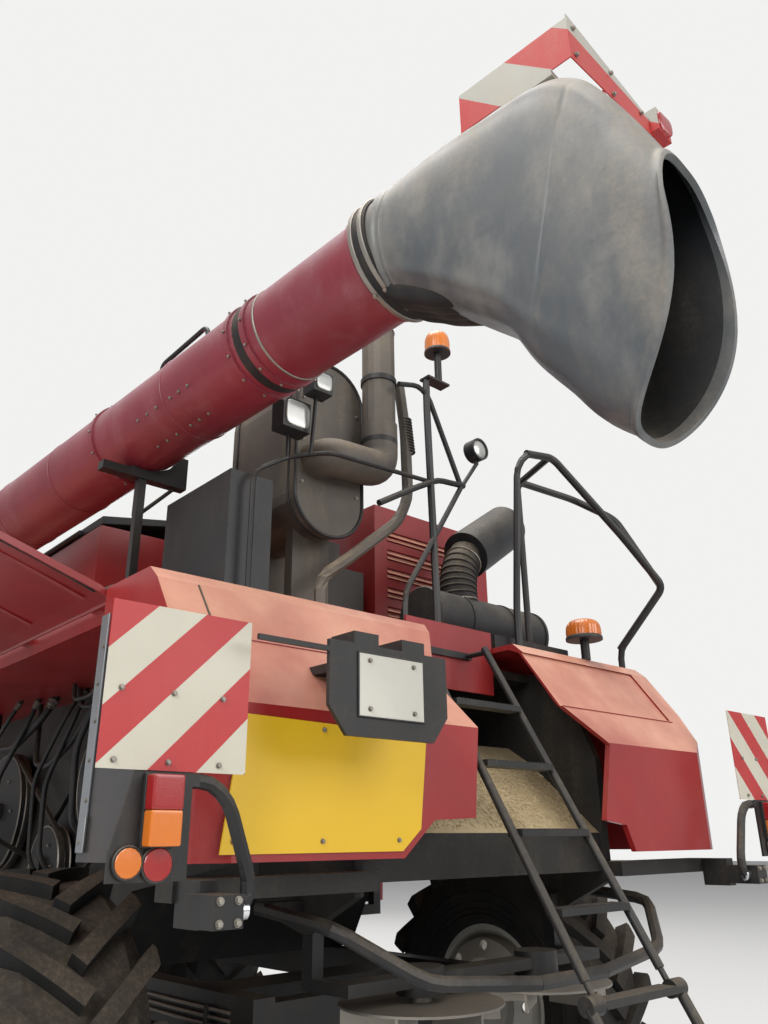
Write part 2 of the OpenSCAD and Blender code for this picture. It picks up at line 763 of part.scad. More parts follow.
// Engine block with its heads and the large dark duct above them.
module engine() {
  color("#4a4742") {
    block([-3700, -380, deck_z], [tank_x1 - 130, 420, deck_z + 620]);
    block([-3620, -260, deck_z + 620], [tank_x1 - 210, 300, deck_z + 800]);
    rod([-3250, 60, deck_z + 1020], [-3690, 60, deck_z + 1020], 260);
    block([-3600, -60, deck_z + 790], [-3300, 180, deck_z + 900]);
  }
}

// Height of the exhaust can's lower edge, and the middle of the can from the centre plane.
can_z = 2917;
can_y = 400;
stack = [-4450, 149];

// Oval exhaust can with its heat shield, the stack, and the bent pipe beside it.
module exhaust() {
  color("#6d665b") {
    translate([-4319.7, can_y, can_z])
      rotate([0, -90, 0])
        linear_extrude(40)
          polygon(oval(944, 417));
    translate([-3750, can_y, can_z + 20])
      rotate([0, -90, 0])
        linear_extrude(575)
          polygon(oval(904, 380));
    for (x = [-4220, -3860]) {
      block([x, can_y - 110, deck_z], [x + 60, can_y + 110, can_z + 70]);
    }
    bent([[-4345, 480, 3290], [stack[0], 480, 3290], [stack[0], stack[1], 3310],
      [stack[0], stack[1], 4128]], 88, 95, 16);
    bent([[-4395, -50, 3906], [-4395, -90, 3640], [-4395, -100, 3240], [-4395, -20, 3085],
      [-4395, 312, 2813], [-4395, 470, 2690], [-4395, 470, deck_z]], 30);
  }
}

// Air cleaner drum, its elbow and the slanted precleaner.
module air_cleaner() {
  color("#333335") {
    rod([-4270, -300, deck_z + 225], [-4270, -1160, deck_z + 225], 158);
    bent([[-4270, -600, deck_z + 300], [-4260, -600, deck_z + 500], [-4240, -700, deck_z + 660]], 90);
    rod([-4240, -700, deck_z + 660], [-4190, -1130, deck_z + 950], 142);
    for (y = [-1080, -480]) {
      block([-4350, y, deck_z], [-4190, y + 60, deck_z + 120]);
    }
  }
}

// Tall black tank at the rear left of the deck.
module deck_tank() {
  color("#262627") {
    block([-4350, 724, deck_z], [-3760, 951, deck_z + 690]);
    translate([-4050, 838, deck_z + 690])
      cylinder(h = 50, r = 55, $fn = 32);
  }
}

// Guard rails and lamp posts round the engine deck.
module guard_rails() {
  top = deck_z + 10 + eps;
  color("#2f2f31") {
    bent([[-4700, -560, top], [-4700, -560, top + 200], [-4760, -575, deck_z + 1000],
      [-4780, -640, deck_z + 1100], [-4800, -851, deck_z + 1130],
      [-4950, -1239, deck_z + 700], [-5040, -1440, deck_z + 430],
      [-4740, -1410, top + 110], [-4740, -1410, top]], rail_r, 50);
    bent([[-4500, -900, top], [-4500, -900, deck_z + 1100], [-4600, -1300, deck_z + 1060],
      [-4800, -1420, deck_z + 900], [-5020, -1440, deck_z + 450]], rail_r);
    bent([[-4500, -900, deck_z + 1080], [-4790, -820, deck_z + 1120]], rail_r);
    bent([[-4600, -80, deck_z + eps], [-4600, -80, deck_z + 240], [-4600, -57, 3677],
      [-4600, -60, 3856]], rail_r, 60);
    bent([[-4600, 143, 3751], [-4600, 5, 3793], [-4600, -70, 3757], [-4600, -290, 3300]],
      rail_r - 5, 34);
    bent([[-4605, 292, 3044], [-4605, 51, 3189], [-4605, -116, 3280], [-4605, -310, 3300]],
      rail_r - 3, 40);
    bent([[-4605, 136, deck_z + eps], [-4605, 136, deck_z + 200], [-4605, -290, 3290]],
      rail_r - 5, 60);
    rod([-4605, -300, 3300], [-4605, -424, 3465], 11);
    rod([-4605, -424, 3460], [-4605, -424, 3479.7], 11);
    block([-4640, -200, 3850], [-4570, -40, 3862]);
    translate([-4605, -150, 3862])
      cylinder(h = 190, r = 20, $fn = 24);
    translate([-4760, -1040, top])
      cylinder(h = 110, r = 24, $fn = 24);
    bent([[-4408, 869, deck_z + eps], [-4408, 869, 3110], [-4408, 690, 3233], [-4566, 560, 3240],
      [-4590, -60, 3262]], rail_r - 7, 50);
    rod([-4408, 690, 3225], [-4408, 690, 3352], 9);
    rod([-4500, 622, 3232], [-4530, 622, 3510], 9);
    rod([-4530, 622, 3505], [-4530, 622, 3526], 9);
    block([-4652, -1033, top], [-4640, -430, deck_z + 80]);
  }
}

// Work lamps: two square ones above the deck's tank and a round one on the lamp frame.
module work_lamps() {
  color("#46464a") {
    block([-4480, 612, 3352 + eps], [-4385, 768, 3508]);
    block([-4590, 566, 3526 + eps], [-4505, 678, 3636]);
    difference() {
      translate([-4570, -424, 3543])
        rotate([0, -90, 0])
          cylinder(h = 70, r = 63, $fn = 48);
      translate([-4625, -424, 3543])
        rotate([0, -90, 0])
          cylinder(h = 30, r = 54, $fn = 48);
    }
  }
}

// Beacons: a domed one on the tall post and a low one on the right panel.
module beacons() {
  color("#c9701d") {
    translate([-4605, -150, 4052 + eps])
      rotate_extrude($fn = 48)
        polygon([[0, 0], [68, 0], [68, 70], [60, 108], [40, 126], [0, 132]]);
    translate([-4760, -1040, deck_z + 120 + 2 * eps])
      rotate_extrude($fn = 48)
        polygon([[0, 0], [92, 0], [92, 60], [78, 92], [45, 108], [0, 112]]);
  }
}

u_dir = [cos(unload_a) * cos(unload_b), sin(unload_a) * cos(unload_b), -sin(unload_b)];
u_end = [-unload_end, unload_end_y, unload_z];
u_len = (unload_end + unload_x) / u_dir[0];
u_root = u_end + u_len * u_dir;

// Point on the unloader's middle line, s from its open end.
function u_at(s) = u_end + s * u_dir;

// Swivel post with its lower elbow out of the tank.
module swivel() {
  color("#9c1e22") {
    translate([u_root[0], u_root[1], 2420])
      cylinder(h = u_root[2] - 2420 - 320, r = tube_d / 2 + 10, $fn = 64);
    block([tank_x, u_root[1] - 200, 2420], [u_root[0], u_root[1] + 120, 2700]);
  }
}

// Unloading tube with its turning elbow, clamp rings and doors.
module unloader_tube() {
  color("#9c1e22") {
    difference() {
      rod(u_at(0), u_at(u_len - 60), tube_d / 2);
      rod(u_at(-10), u_at(u_len - 400), tube_d / 2 - 8);
    }
    translate([u_root[0], u_root[1], u_root[2] - 319.7])
      cylinder(h = 320 + tube_d / 2 + 10, r = tube_d / 2 + 12, $fn = 64);
    bent([u_at(1700) + [0, 0, 190], u_at(1690) + [0, 0, 360], u_at(1300) + [0, 0, 390],
      u_at(1250) + [0, 0, 190]], 11, 40);
    for (s = [64, 700, 812, 1940, 3600]) {
      difference() {
        rod(u_at(s), u_at(s + 30), tube_d / 2 + 10);
        rod(u_at(s - 10), u_at(s + 40), tube_d / 2 - 2);
      }
    }
  }
}

// Spout sections from the ring to the mouth, as far behind and above the ring's middle:
// [top x, top z, bottom x, bottom z, half width, squareness, bulge of the mouth].
spout_rows = [[-8, 224, -8, -224, 224, 2, 0], [120, 238, 60, -250, 222, 2.2, 0],
  [330, 240, 200, -336, 221, 2.6, 0], [564, 243, 368, -478, 213, 2.9, 0],
  [736, 243, 505, -611, 211, 3, 0], [841, 190, 583, -752, 210, 3, 30],
  [908, 90, 680, -884, 205, 3, 60], [987, -72, 755, -985, 199, 3, 87],
  [1080, -300, 866, -1082, 199, 2.9, 110]];
spout_n = 36;
spout_t = 9;
spout_back = [-cos(unload_a), -sin(unload_a), 0];
spout_left = [-sin(unload_a), cos(unload_a), 0];

// Rows with one more between each pair, on a smooth curve.
function finer(r) = concat([for (i = [0 : len(r) - 2])
  let (a = r[max(i - 1, 0)], d = r[min(i + 2, len(r) - 1)])
    each [r[i], (9 * r[i] + 9 * r[i + 1] - a - d) / 16]], [r[len(r) - 1]]);

function power(v, e) = sign(v) * pow(abs(v), e);

// One ring of the spout, t inside its outer face.
function spout_ring(r, t) =
  let (h = norm([r[0] - r[2], r[1] - r[3]]) / 2, k = 1 - t / h)
    [for (i = [0 : spout_n - 1])
      let (a = i * 360 / spout_n, c = power(cos(a), 2 / r[5]), s = power(sin(a), 2 / r[5]),
        x = (r[0] + r[2]) / 2 + s * k * (r[0] - r[2]) / 2 + r[6] * (1 - s * s) * (1 - 0.6 * s),
        z = (r[1] + r[3]) / 2 + s * k * (r[1] - r[3]) / 2)
        u_end + x * spout_back + (r[4] - t) * c * spout_left + [0, 0, z]];

// Places a shape in the spout's own frame: x behind the ring, y to the right, z up.
module spout_place() {
  translate(u_end)
    rotate([0, 0, 180 + unload_a])
      children();
}

// A thin shell through rings of points: outer skin, inner skin and both rims.
module skin(outer, inner) {
  m = len(outer);
  n = len(outer[0]);
  pts = concat([for (r = outer) each r], [for (r = inner) each r]);
  o = m * n;
  polyhedron(points = pts, faces = [
    for (k = [0 : m - 2], i = [0 : n - 1]) let (j = (i + 1) % n)
      each [[k * n + i, k * n + j, (k + 1) * n + j], [k * n + i, (k + 1) * n + j, (k + 1) * n + i]],
    for (k = [0 : m - 2], i = [0 : n - 1]) let (j = (i + 1) % n)
      each [[o + k * n + i, o + (k + 1) * n + j, o + k * n + j],
        [o + k * n + i, o + (k + 1) * n + i, o + (k + 1) * n + j]],
    for (i = [0 : n - 1]) let (j = (i + 1) % n)
      each [[i, o + j, j], [i, o + i, o + j]],
    for (i = [0 : n - 1]) let (j = (i + 1) % n, e = (m - 1) * n)
      each [[e + i, e + j, o + e + j], [e + i, o + e + j, o + e + i]]]);
}

// Moulded spout that hangs from the tube's end and opens to the rear.
module spout() {
  color("#4d4f50") {
    skin([for (r = finer(spout_rows)) spout_ring(r, 0)],
      [for (r = finer(spout_rows)) spout_ring(r, spout_t)]);
    difference() {
      rod(u_at(-20), u_at(60), tube_d / 2 + 30);
      rod(u_at(-21), u_at(61), tube_d / 2 + eps);
    }
  }
}

// Board folded on top of the spout: a leaf to the left, a leaf to the rear, and its lamp.
module spout_board() {
  color("#d8d2c4") spout_place() {
    block([386, -104, 266 + eps], [835, -100, 445]);
    block([560, -104, 247], [760, 160, 270]);
    translate([831, 0, 0])
      rotate([90, 0, 90])
        linear_extrude(4)
          polygon([[-104, 266 + eps], [300, 330], [490, 373], [490, 450], [-104, 461]]);
    block([700, 120, 268], [833, 128, 310]);
    block([795, 480, 385], [865, 585, 490]);
  }
}

// Slender post, rubber pad and inner horn that the folded tube rests by.
module saddle() {
  s = u_len * 0.329;
  p = u_at(s);
  low = p[2] - tube_d / 2 - 52;
  color("#2b2b2c") {
    difference() {
      block([p[0] - 30, p[1] - 235, low], [p[0] + 30, p[1] + 61, p[2] - 90]);
      rod(u_at(s - 200), u_at(s + 200), tube_d / 2 + 6);
    }
    block([p[0] - 30, p[1] + 60, low], [p[0] + 30, p[1] + 215, p[2] - tube_d / 2 - 9]);
    block([p[0] - 20, p[1] - 20, deck_z + 10], [p[0] + 20, p[1] + 20, low + 5]);
    slab([[p[0] + 19, low - 190], [p[0] + 25, low - 190], [p[0] + 25, low + 5], [p[0] + 19, low + 5]],
      p[1] - 20, p[1] + 20);
    rod([p[0], p[1] - 10, low - 180], [p[0], p[1] - 190, low + 12], 10);
    block([p[0] - 90, p[1] - 90, deck_z], [p[0] + 90, p[1] + 90, deck_z + 12]);
  }
}

// Belts, pulleys and shields on the left side sheet, seen under the raised doors.
module side_drives() {
  color("#3c3b39") {
    for (p = [[-700, 1500, 260], [-1700, 1750, 330], [-2500, 1450, 200], [-3100, 1850, 260]]) {
      drum(p[0], p[1], p[2], core_y + 40, core_y + 110);
      drum(p[0], p[1], 50, core_y, core_y + 150);
    }
    for (side = [-1, 1]) mirrored(side) {
      block([-1000, side_y - 120, 1100], [-940, side_y - 60, deck_z - 90]);
      block([-2640, side_y - 120, 1100], [-2580, side_y - 60, deck_z - 90]);
      block([-4330, side_y - 120, panel_z + 60], [-4270, side_y - 60, deck_z - 90]);
      block([-4330, core_y, panel_z + 60], [-4270, side_y - 120 - eps, panel_z + 120]);
      block([-2640, core_y, 1100], [-2580, side_y - 120 - eps, 1160]);
      block([-1000, core_y, 1100], [-940, side_y - 120 - eps, 1160]);
    }
  }
}

hinge_z = deck_z - 30;
hinge_y = side_y - 30;

// Closed side door from x0 back to x1: a bowed sheet with turned-in edges.
module side_door(x0, x1, low) {
  translate([x1, 0, 0])
    rotate([90, 0, 90])
      linear_extrude(x0 - x1)
        polygon([[hinge_y, hinge_z - 7], [hinge_y, hinge_z + 7], [side_y - 8, hinge_z - 20],
          [side_y + 5, hinge_z - 60], [side_y + 25, hinge_z - 450],
          [side_y + 5, low], [side_y - 40, low], [side_y - 40, low + 25],
          [side_y - 22, low + 25], [side_y, hinge_z - 450], [side_y - 22, hinge_z - 70],
          [side_y - 26, hinge_z - 35]]);
  translate([x1, hinge_y, hinge_z])
    rotate([0, 90, 0])
      cylinder(h = x0 - x1, r = 9, $fn = 24);
}

module raised(side) {
  mirrored(side)
    translate([0, hinge_y, hinge_z])
      rotate([105, 0, 0])
        translate([0, -hinge_y, -hinge_z])
          children();
}

door_f = [tank_x - 690, tank_x1 + 40, 1180];
door_r = [tank_x1 + 30, -4420, panel_z + 60];

module door_left_front() {
  color("#a8262a") raised(1) side_door(door_f[0], door_f[1], door_f[2]);
}

module door_left_rear() {
  color("#a8262a") raised(1) side_door(door_r[0], door_r[1], door_r[2]);
}

module door_right_front() {
  color("#a8262a") mirrored(-1) side_door(door_f[0], door_f[1], door_f[2]);
}

module door_right_rear() {
  color("#a8262a") mirrored(-1) side_door(door_r[0], door_r[1], door_r[2]);
}

// Rear corner volume, grown inwards by t.
module corner(t, cut) {
  intersection() {
    slab([[-rear_x + t, panel_z - 1], [-rear_x + t, fold_z], [-rear_x + 320 + t, deck_z - 40],
      [-rear_x + 380 + t, deck_z + 10 - t], [-side_front, deck_z + 10 - t],
      [-side_front, panel_z - 1]],
      0, side_y - t);
    translate([0, 0, panel_z - 2])
      linear_extrude(deck_z)
        polygon([[-side_front + 1, 0], [-rear_x - 1, 0], [-rear_x - 1, side_y - 150 - t],
          [-rear_x + 45 + t, side_y - 45 - t], [-rear_x + 150 + t, side_y - t],
          [-side_front + 1, side_y - t]]);
    translate([-rear_x - 2, 0, 0])
      rotate([90, 0, 90])
        linear_extrude(800)
          polygon(cut);
  }
}

left_cut = [[370, 2140], [282, 1953], [319, 1628], [529, 1620], [675, panel_z],
  [1600, panel_z], [1600, 2600], [170, 2600], [170, 2450]];
right_cut = [[420, 2114], [585, 1941], [500, 1627], [648, 1608], [700, panel_z],
  [1600, panel_z], [1600, 2600], [420, 2600]];

module rear_panel(cut) {
  difference() {
    corner(0, cut);
    translate([0.01, 0, 0]) corner(sheet, [[-10, 0], [-10, 3000], [1700, 3000], [1700, 0]]);
  }
}

// Rear corner panels, left and right of the ladder.
module rear_panels() {
  color("#a8262a") {
    rear_panel(left_cut);
    difference() {
      mirrored(-1) rear_panel(right_cut);
      slab([[panel_face(2112) - 9, 2112], [panel_face(2112) + 12, 2112],
        [panel_face(2388) + 12, 2388], [panel_face(2388) - 9, 2388]], -side_y + 150, -400);
    }
  }
}

function lad_at(z) = -4740 + (z - 2430) * 0.581;
rung_low = deck_z - 1362;

// Upper part of the rear ladder, with its hinge eyes at the lower end.
module ladder_upper() {
  rung_y = ladder_w / 2 - ladder_r - eps;
  color("#1d1d1e") {
    for (s = [-1, 1]) {
      rod([lad_at(deck_z - 40), s * ladder_w / 2, deck_z - 40],
        [lad_at(rung_low + 60), s * ladder_w / 2, rung_low + 60], ladder_r);
      difference() {
        rod([-deck_end - 16 - eps, s * ladder_w / 2, deck_z - 60],
          [lad_at(deck_z - 60), s * ladder_w / 2, deck_z - 60], 12);
        rod([lad_at(deck_z), s * ladder_w / 2, deck_z],
          [lad_at(rung_low), s * ladder_w / 2, rung_low], ladder_r + eps);
      }
      drum(lad_at(rung_low), rung_low, 30, s * ladder_w / 2 - 12, s * ladder_w / 2 + 12);
      drum(lad_at(rung_low), rung_low, 10, s * (ladder_w / 2 + 31) - 31, s * (ladder_w / 2 + 31) + 31);
      rod([lad_at(rung_low + 85), s * ladder_w / 2, rung_low + 85],
        [lad_at(rung_low + 10), s * ladder_w / 2, rung_low + 10], ladder_r - 6);
    }
    block([-deck_end - 16, -250, deck_z - 75], [-deck_end - eps, 245, deck_z - 45]);
    for (i = [0 : 4]) {
      z = rung_low + i * rung_h;
      y = i == 0 ? ladder_w / 2 - 12 - eps : rung_y;
      block([lad_at(z) - 30, -y, z - 12], [lad_at(z) + 40, y, z + 12]);
    }
  }
}

// Lower part, folding up about the hinge.
module ladder_lower() {
  w = ladder_w / 2 + 42;
  color("#1d1d1e") {
    for (s = [-1, 1]) {
      difference() {
        union() {
          drum(lad_at(rung_low), rung_low, 30, s * (w - 6) - 23.7, s * (w - 6) + 23.7);
          rod([lad_at(rung_low), s * w, rung_low], [lad_at(350), s * w, 350], ladder_r + 2);
        }
        drum(lad_at(rung_low), rung_low, 10.1, s * w - 60, s * w + 60);
      }
    }
    for (i = [1 : 2]) {
      z = rung_low - i * rung_h;
      block([lad_at(z) - 30, -w + 6, z - 12], [lad_at(z) + 40, w - 6, z + 12]);
    }
  }
}

// Dark hood behind the threshing body, with the dusty tailboard under it.
module residue_hood() {
  color("#2e2d2b") {
    for (side = [-1, 1]) mirrored(side) {
      slab([[-4400, 2340], [-4400, 1320], [-4700, 1250], [-4980, 1380], [-4980, 1900],
        [-4800, 2340]], core_y - 40, core_y);
    }
    block([-deck_end + 12 + eps, -core_y, 2300], [-4400, core_y, 2340]);
    for (side = [-1, 1]) mirrored(side) {
      block([-5060, core_y - 40, 1400], [-4960, 1470, 1460]);
    }
    slab([[-4460, 1960], [-4460, 1990], [-4600, 1900], [-4960, 1580], [-4960, 1420],
      [-4940, 1420], [-4930, 1570], [-4590, 1870]], -core_y + 40, core_y - 40);
  }
}

disc_x = -4850;
disc_y = 330;
disc_z = 1010;

// Spreader carrier: cross beam, side arms, gear boxes and curved guard tubes.
module spreader_frame() {
  color("#383735") {
    for (side = [-1, 1]) mirrored(side) {
      block([-4700, core_y - 90, disc_z + 80], [-4640, core_y - 40, 1320]);
      block([-4900, core_y - 90, disc_z + 60], [-4640, core_y - 40, disc_z + 100]);
      translate([disc_x, disc_y, disc_z + 30.3])
        cylinder(h = 90, r = 90, $fn = 40);
      bent([[-4640, 900, 1340], [-5050, 900, 1300], [-5230, 660, 1140], [-5280, 190, 1100]], 24);
      block([-4700, core_y + eps, 1320], [-4640, 920, 1360]);
    }
    bent([[-5280, 190, 1100], [-5280, -190, 1100]], 24);
    block([-4900, -core_y + 60, disc_z + 60], [-4800, core_y - 60, disc_z + 100]);
  }
}

module spreader_disc(side) {
  mirrored(side)
    translate([disc_x, disc_y, disc_z]) {
      cylinder(h = 8, r = 300, $fn = 64);
      cylinder(h = 30, r = 40, $fn = 32);
      for (i = [0 : 5]) {
        rotate(i * 60)
          block([60, -5, -60], [295, 5, 4]);
      }
    }
}

module spreader_disc_left() {
  color("#55524c") spreader_disc(1);
}

module spreader_disc_right() {
  color("#55524c") spreader_disc(-1);
}

lamp_x = -rear_x - 140;

// Where a seat touches the rear panels' leaning face at height z.
function panel_face(z) = -rear_x + (z - fold_z) * 320 / (deck_z - 40 - fold_z) - 0.4;

// Bent arms that carry the lamps and warning boards, with pivot blocks, and the plate bracket.
module lamp_arms() {
  x = lamp_x + 10;
  color("#2c2c2d") {
    for (side = [-1, 1]) mirrored(side) {
      bent([[x, 1570, 1705], [x, 1500, 1705], [x, 1440, 1655], [x, 1365, 1460], [x, 1375, 1388],
        [x, 1480, 1388]], 20, 34);
      block([-5190, 1400, 1340], [-5060 - eps, 1460, 1460]);
      block([x - 50, 1410, 1350], [-5180, 1500, 1430]);
      block([lamp_x - 10, 1545, 1690], [lamp_x + 30, 1620, 1722]);
      translate([lamp_x - 10, 0, 0])
        rotate([90, 0, 90])
          linear_extrude(10)
            polygon([[1565, 1466], [1776, 1466], [1776, 1540], [1716, 1762], [1565, 1762]]);
      block([lamp_x - 10, 1590, 1750], [lamp_x, 1630, 2100]);
    }
    translate([-rear_x - 240, 0, 0])
      rotate([90, 0, 90])
        linear_extrude(15)
          polygon([[696, 1925], [762, 1842], [1122, 1842], [1189, 1925], [1189, 2120], [696, 2120]]);
    block([-rear_x - 240, 1180, 2082], [-rear_x - 230, 1440, 2098]);
    slab([[-rear_x - 230, 2080], [panel_face(2080), 2080], [panel_face(2110), 2110],
      [-rear_x - 230, 2110]], 860, 1000);
    for (y = [790, 990]) {
      block([-rear_x - 235, y, 2100], [-rear_x - 120, y + 100, 2160]);
    }
  }
}

// Red and white boards, one facing rearward on each side.
module warning_boards() {
  color("#d8d2c4") {
    for (side = [-1, 1]) mirrored(side) {
      block([lamp_x - 14, 1410, 1725], [lamp_x - 10.3, 1410 + board, 1725 + board]);
    }
  }
}

// Lenses of the rear lamps, reflectors and the beacons.
module tail_lamps() {
  color("#c23a24") {
    for (side = [-1, 1]) mirrored(side) {
      block([lamp_x - 60, 1585, 1545], [lamp_x - 10.3, 1700, 1715]);
      translate([lamp_x - 10.3, 1650, 1505])
        rotate([0, -90, 0])
          cylinder(h = 12, r = 38, $fn = 40);
      translate([lamp_x - 10.3, 1728, 1510])
        rotate([0, -90, 0])
          cylinder(h = 12, r = 34, $fn = 40);
    }
  }
}

// Bare yellow sign on the left panel.
module plates() {
  color("#e0b020") {
    translate([-rear_x - 6.3, 0, 0])
      rotate([90, 0, 90])
        linear_extrude(6)
          polygon([[565, 1900], [603, 1590], [688, 1522], [1385, 1522], [1330, 1915]]);
  }
}

// Bare number plate on its bracket.
module number_plate() {
  color("#e6e2d4") {
    block([-rear_x - 244, 805, 1900], [-rear_x - 240.3, 1080, 2095]);
  }
}

chassis();
threshing_body();
front_tyre_left();
front_tyre_right();
front_rim_left();
front_rim_right();
rear_axle();
knuckle_left();
knuckle_right();
tie_rod();
rear_tyre_left();
rear_tyre_right();
rear_rim_left();
rear_rim_right();
feeder_house();
feeder_chain();
lift_barrel_left();
lift_barrel_right();
lift_rod_left();
lift_rod_right();
cab();
cab_glass();
cab_door();
cab_seat();
cab_ladder();
grain_tank();
tank_cover_left();
tank_cover_right();
engine_deck();
engine();
exhaust();
air_cleaner();
deck_tank();
guard_rails();
swivel();
unloader_tube();
spout();
saddle();
side_drives();
door_left_front();
door_left_rear();
door_right_front();
door_right_rear();
rear_panels();
ladder_upper();
ladder_lower();
residue_hood();
spreader_frame();
spreader_disc_left();
spreader_disc_right();
lamp_arms();
warning_boards();
tail_lamps();
plates();
number_plate();
work_lamps();
beacons();
spout_board();
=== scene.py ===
"""Looks of a parked combine harvester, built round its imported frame.

x runs forward from the front axle, y to the left, z up from the ground, all in metres.
"""

import json
import math

import bmesh
import bpy
import numpy as np
from mathutils import Matrix, Vector


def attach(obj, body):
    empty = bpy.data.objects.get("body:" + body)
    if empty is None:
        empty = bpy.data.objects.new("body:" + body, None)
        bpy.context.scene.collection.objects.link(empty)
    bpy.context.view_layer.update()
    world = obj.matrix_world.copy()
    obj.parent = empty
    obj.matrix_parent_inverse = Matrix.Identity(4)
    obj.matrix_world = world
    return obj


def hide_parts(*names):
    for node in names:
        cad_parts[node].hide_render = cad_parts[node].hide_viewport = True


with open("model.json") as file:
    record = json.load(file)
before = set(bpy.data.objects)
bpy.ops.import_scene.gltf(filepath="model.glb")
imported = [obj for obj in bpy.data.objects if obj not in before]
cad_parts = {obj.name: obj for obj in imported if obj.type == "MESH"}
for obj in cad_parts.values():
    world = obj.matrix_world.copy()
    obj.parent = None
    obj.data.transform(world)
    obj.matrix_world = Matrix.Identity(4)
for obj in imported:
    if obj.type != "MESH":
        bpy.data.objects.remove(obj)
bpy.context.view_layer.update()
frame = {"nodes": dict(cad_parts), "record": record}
nodes = frame["nodes"]

# Camera and light.

CAMERA_PLACE = (-7.32, 2.70, 1.55)
CAMERA_RIGHT = (-0.66505, -0.74672, -0.0111)
CAMERA_UP = (-0.2835, 0.23869, 0.92879)
CAMERA_LOOK = (0.69089, -0.62084, 0.37043)
LENS = 29.11
SENSOR = 36.0


def set_camera():
    """Camera that looks up at the machine's rear left corner, as the photograph does."""
    data = bpy.data.cameras.new("view")
    data.sensor_fit = "VERTICAL"
    data.sensor_height = SENSOR
    data.lens = LENS
    data.clip_end = 200.0
    camera = bpy.data.objects.new("view", data)
    right, up, look = Vector(CAMERA_RIGHT), Vector(CAMERA_UP), Vector(CAMERA_LOOK)
    turn = Matrix((right, up, -look)).transposed().to_4x4()
    camera.matrix_world = Matrix.Translation(CAMERA_PLACE) @ turn
    bpy.context.scene.collection.objects.link(camera)
    bpy.context.scene.camera = camera


# Columns: name, place, target, side of the square and power, in metres and watts.
LAMPS = (
    ("top_light", (-3.0, 2.0, 22.0), (-2.5, 0.0, 2.0), 15.0, 4500.0),
    ("left_light", (-9.0, 9.0, 7.0), (-3.5, 0.5, 2.0), 6.0, 700.0),
    ("rear_light", (-14.0, -3.0, 6.0), (-4.0, 0.0, 2.0), 6.0, 500.0),
    ("front_light", (9.0, -6.0, 8.0), (0.0, 0.0, 2.0), 6.0, 450.0),
)
SKY_COLOR = (0.93, 0.95, 1.0)
SKY_STRENGTH = 0.38
BACKGROUND_COLOR = (0.93, 0.93, 0.92)
BACKGROUND_STRENGTH = 0.95
MIRRORED_SHARE = 0.4    # how far mirrored rays see the pale background


def add_lamp(name, place, target, size, power):
    """Square soft lamp at place that faces target."""
    data = bpy.data.lights.new(name, "AREA")
    data.size = size
    data.energy = power
    lamp = bpy.data.objects.new(name, data)
    way = Vector(target) - Vector(place)
    lamp.rotation_euler = way.to_track_quat("-Z", "Y").to_euler()
    lamp.location = place
    bpy.context.scene.collection.objects.link(lamp)


def set_light():
    """Even studio light: a broad top lamp, three side lamps and a pale world."""
    for lamp in LAMPS:
        add_lamp(*lamp)
    world = bpy.data.worlds.new("studio")
    bpy.context.scene.world = world
    world.use_nodes = True
    tree = world.node_tree
    tree.nodes.clear()
    out = tree.nodes.new("ShaderNodeOutputWorld")
    path = tree.nodes.new("ShaderNodeLightPath")
    mirrored = math_node(tree, "MULTIPLY", path.outputs["Is Glossy Ray"], MIRRORED_SHARE)
    direct = math_node(tree, "MAXIMUM", path.outputs["Is Camera Ray"], path.outputs["Is Transmission Ray"])
    mix = tree.nodes.new("ShaderNodeMixShader")
    tree.links.new(math_node(tree, "MAXIMUM", direct, mirrored), mix.inputs[0])
    rows = ((1, SKY_COLOR, SKY_STRENGTH), (2, BACKGROUND_COLOR, BACKGROUND_STRENGTH))
    for slot, color, strength in rows:
        glow = tree.nodes.new("ShaderNodeBackground")
        glow.inputs["Color"].default_value = (*color, 1.0)
        glow.inputs["Strength"].default_value = strength
        tree.links.new(glow.outputs[0], mix.inputs[slot])
    tree.links.new(mix.outputs[0], out.inputs[0])


# Shader helpers.

def group(name, inputs, outputs, build):
    """Shader node group with named sockets: build(tree, inlet, outlet) fills it."""
    tree = bpy.data.node_groups.new(name, "ShaderNodeTree")
    for label, kind, value in inputs:
        socket = tree.interface.new_socket(label, in_out="INPUT", socket_type=kind)
        socket.default_value = value
    for label, kind in outputs:
        tree.interface.new_socket(label, in_out="OUTPUT", socket_type=kind)
    inlet = tree.nodes.new("NodeGroupInput")
    outlet = tree.nodes.new("NodeGroupOutput")
    build(tree, inlet, outlet)
    return tree


def math_node(tree, operation, a, b=None, clamp=False):
    """Math node whose inputs are sockets or numbers; gives its output socket."""
    node = tree.nodes.new("ShaderNodeMath")
    node.operation = operation
    node.use_clamp = clamp
    for slot, value in zip(node.inputs, (a, b)):
        if value is None:
            continue
        if isinstance(value, (int, float)):
            slot.default_value = value
        else:
            tree.links.new(value, slot)
    return node.outputs[0]


def ramp(tree, factor, low, high):
    """Smooth step of a factor from low to high, as a socket."""
    node = tree.nodes.new("ShaderNodeMapRange")
    node.interpolation_type = "SMOOTHSTEP"
    node.inputs["From Min"].default_value = low
    node.inputs["From Max"].default_value = high
    tree.links.new(factor, node.inputs["Value"])
    return node.outputs["Result"]


def mix_color(tree, factor, a, b):
    """Mix by a factor's socket of two colours, each a socket or a tuple."""
    node = tree.nodes.new("ShaderNodeMix")
    node.data_type = "RGBA"
    sockets = [s for s in node.inputs if s.type == "RGBA"]
    tree.links.new(factor, node.inputs[0])
    for slot, value in zip(sockets, (a, b)):
        if isinstance(value, tuple):
            slot.default_value = (*value, 1.0)
        else:
            tree.links.new(value, slot)
    return [s for s in node.outputs if s.type == "RGBA"][0]


def here(tree):
    """Object coordinates of the point that is shaded."""
    return tree.nodes.new("ShaderNodeTexCoord").outputs["Object"]


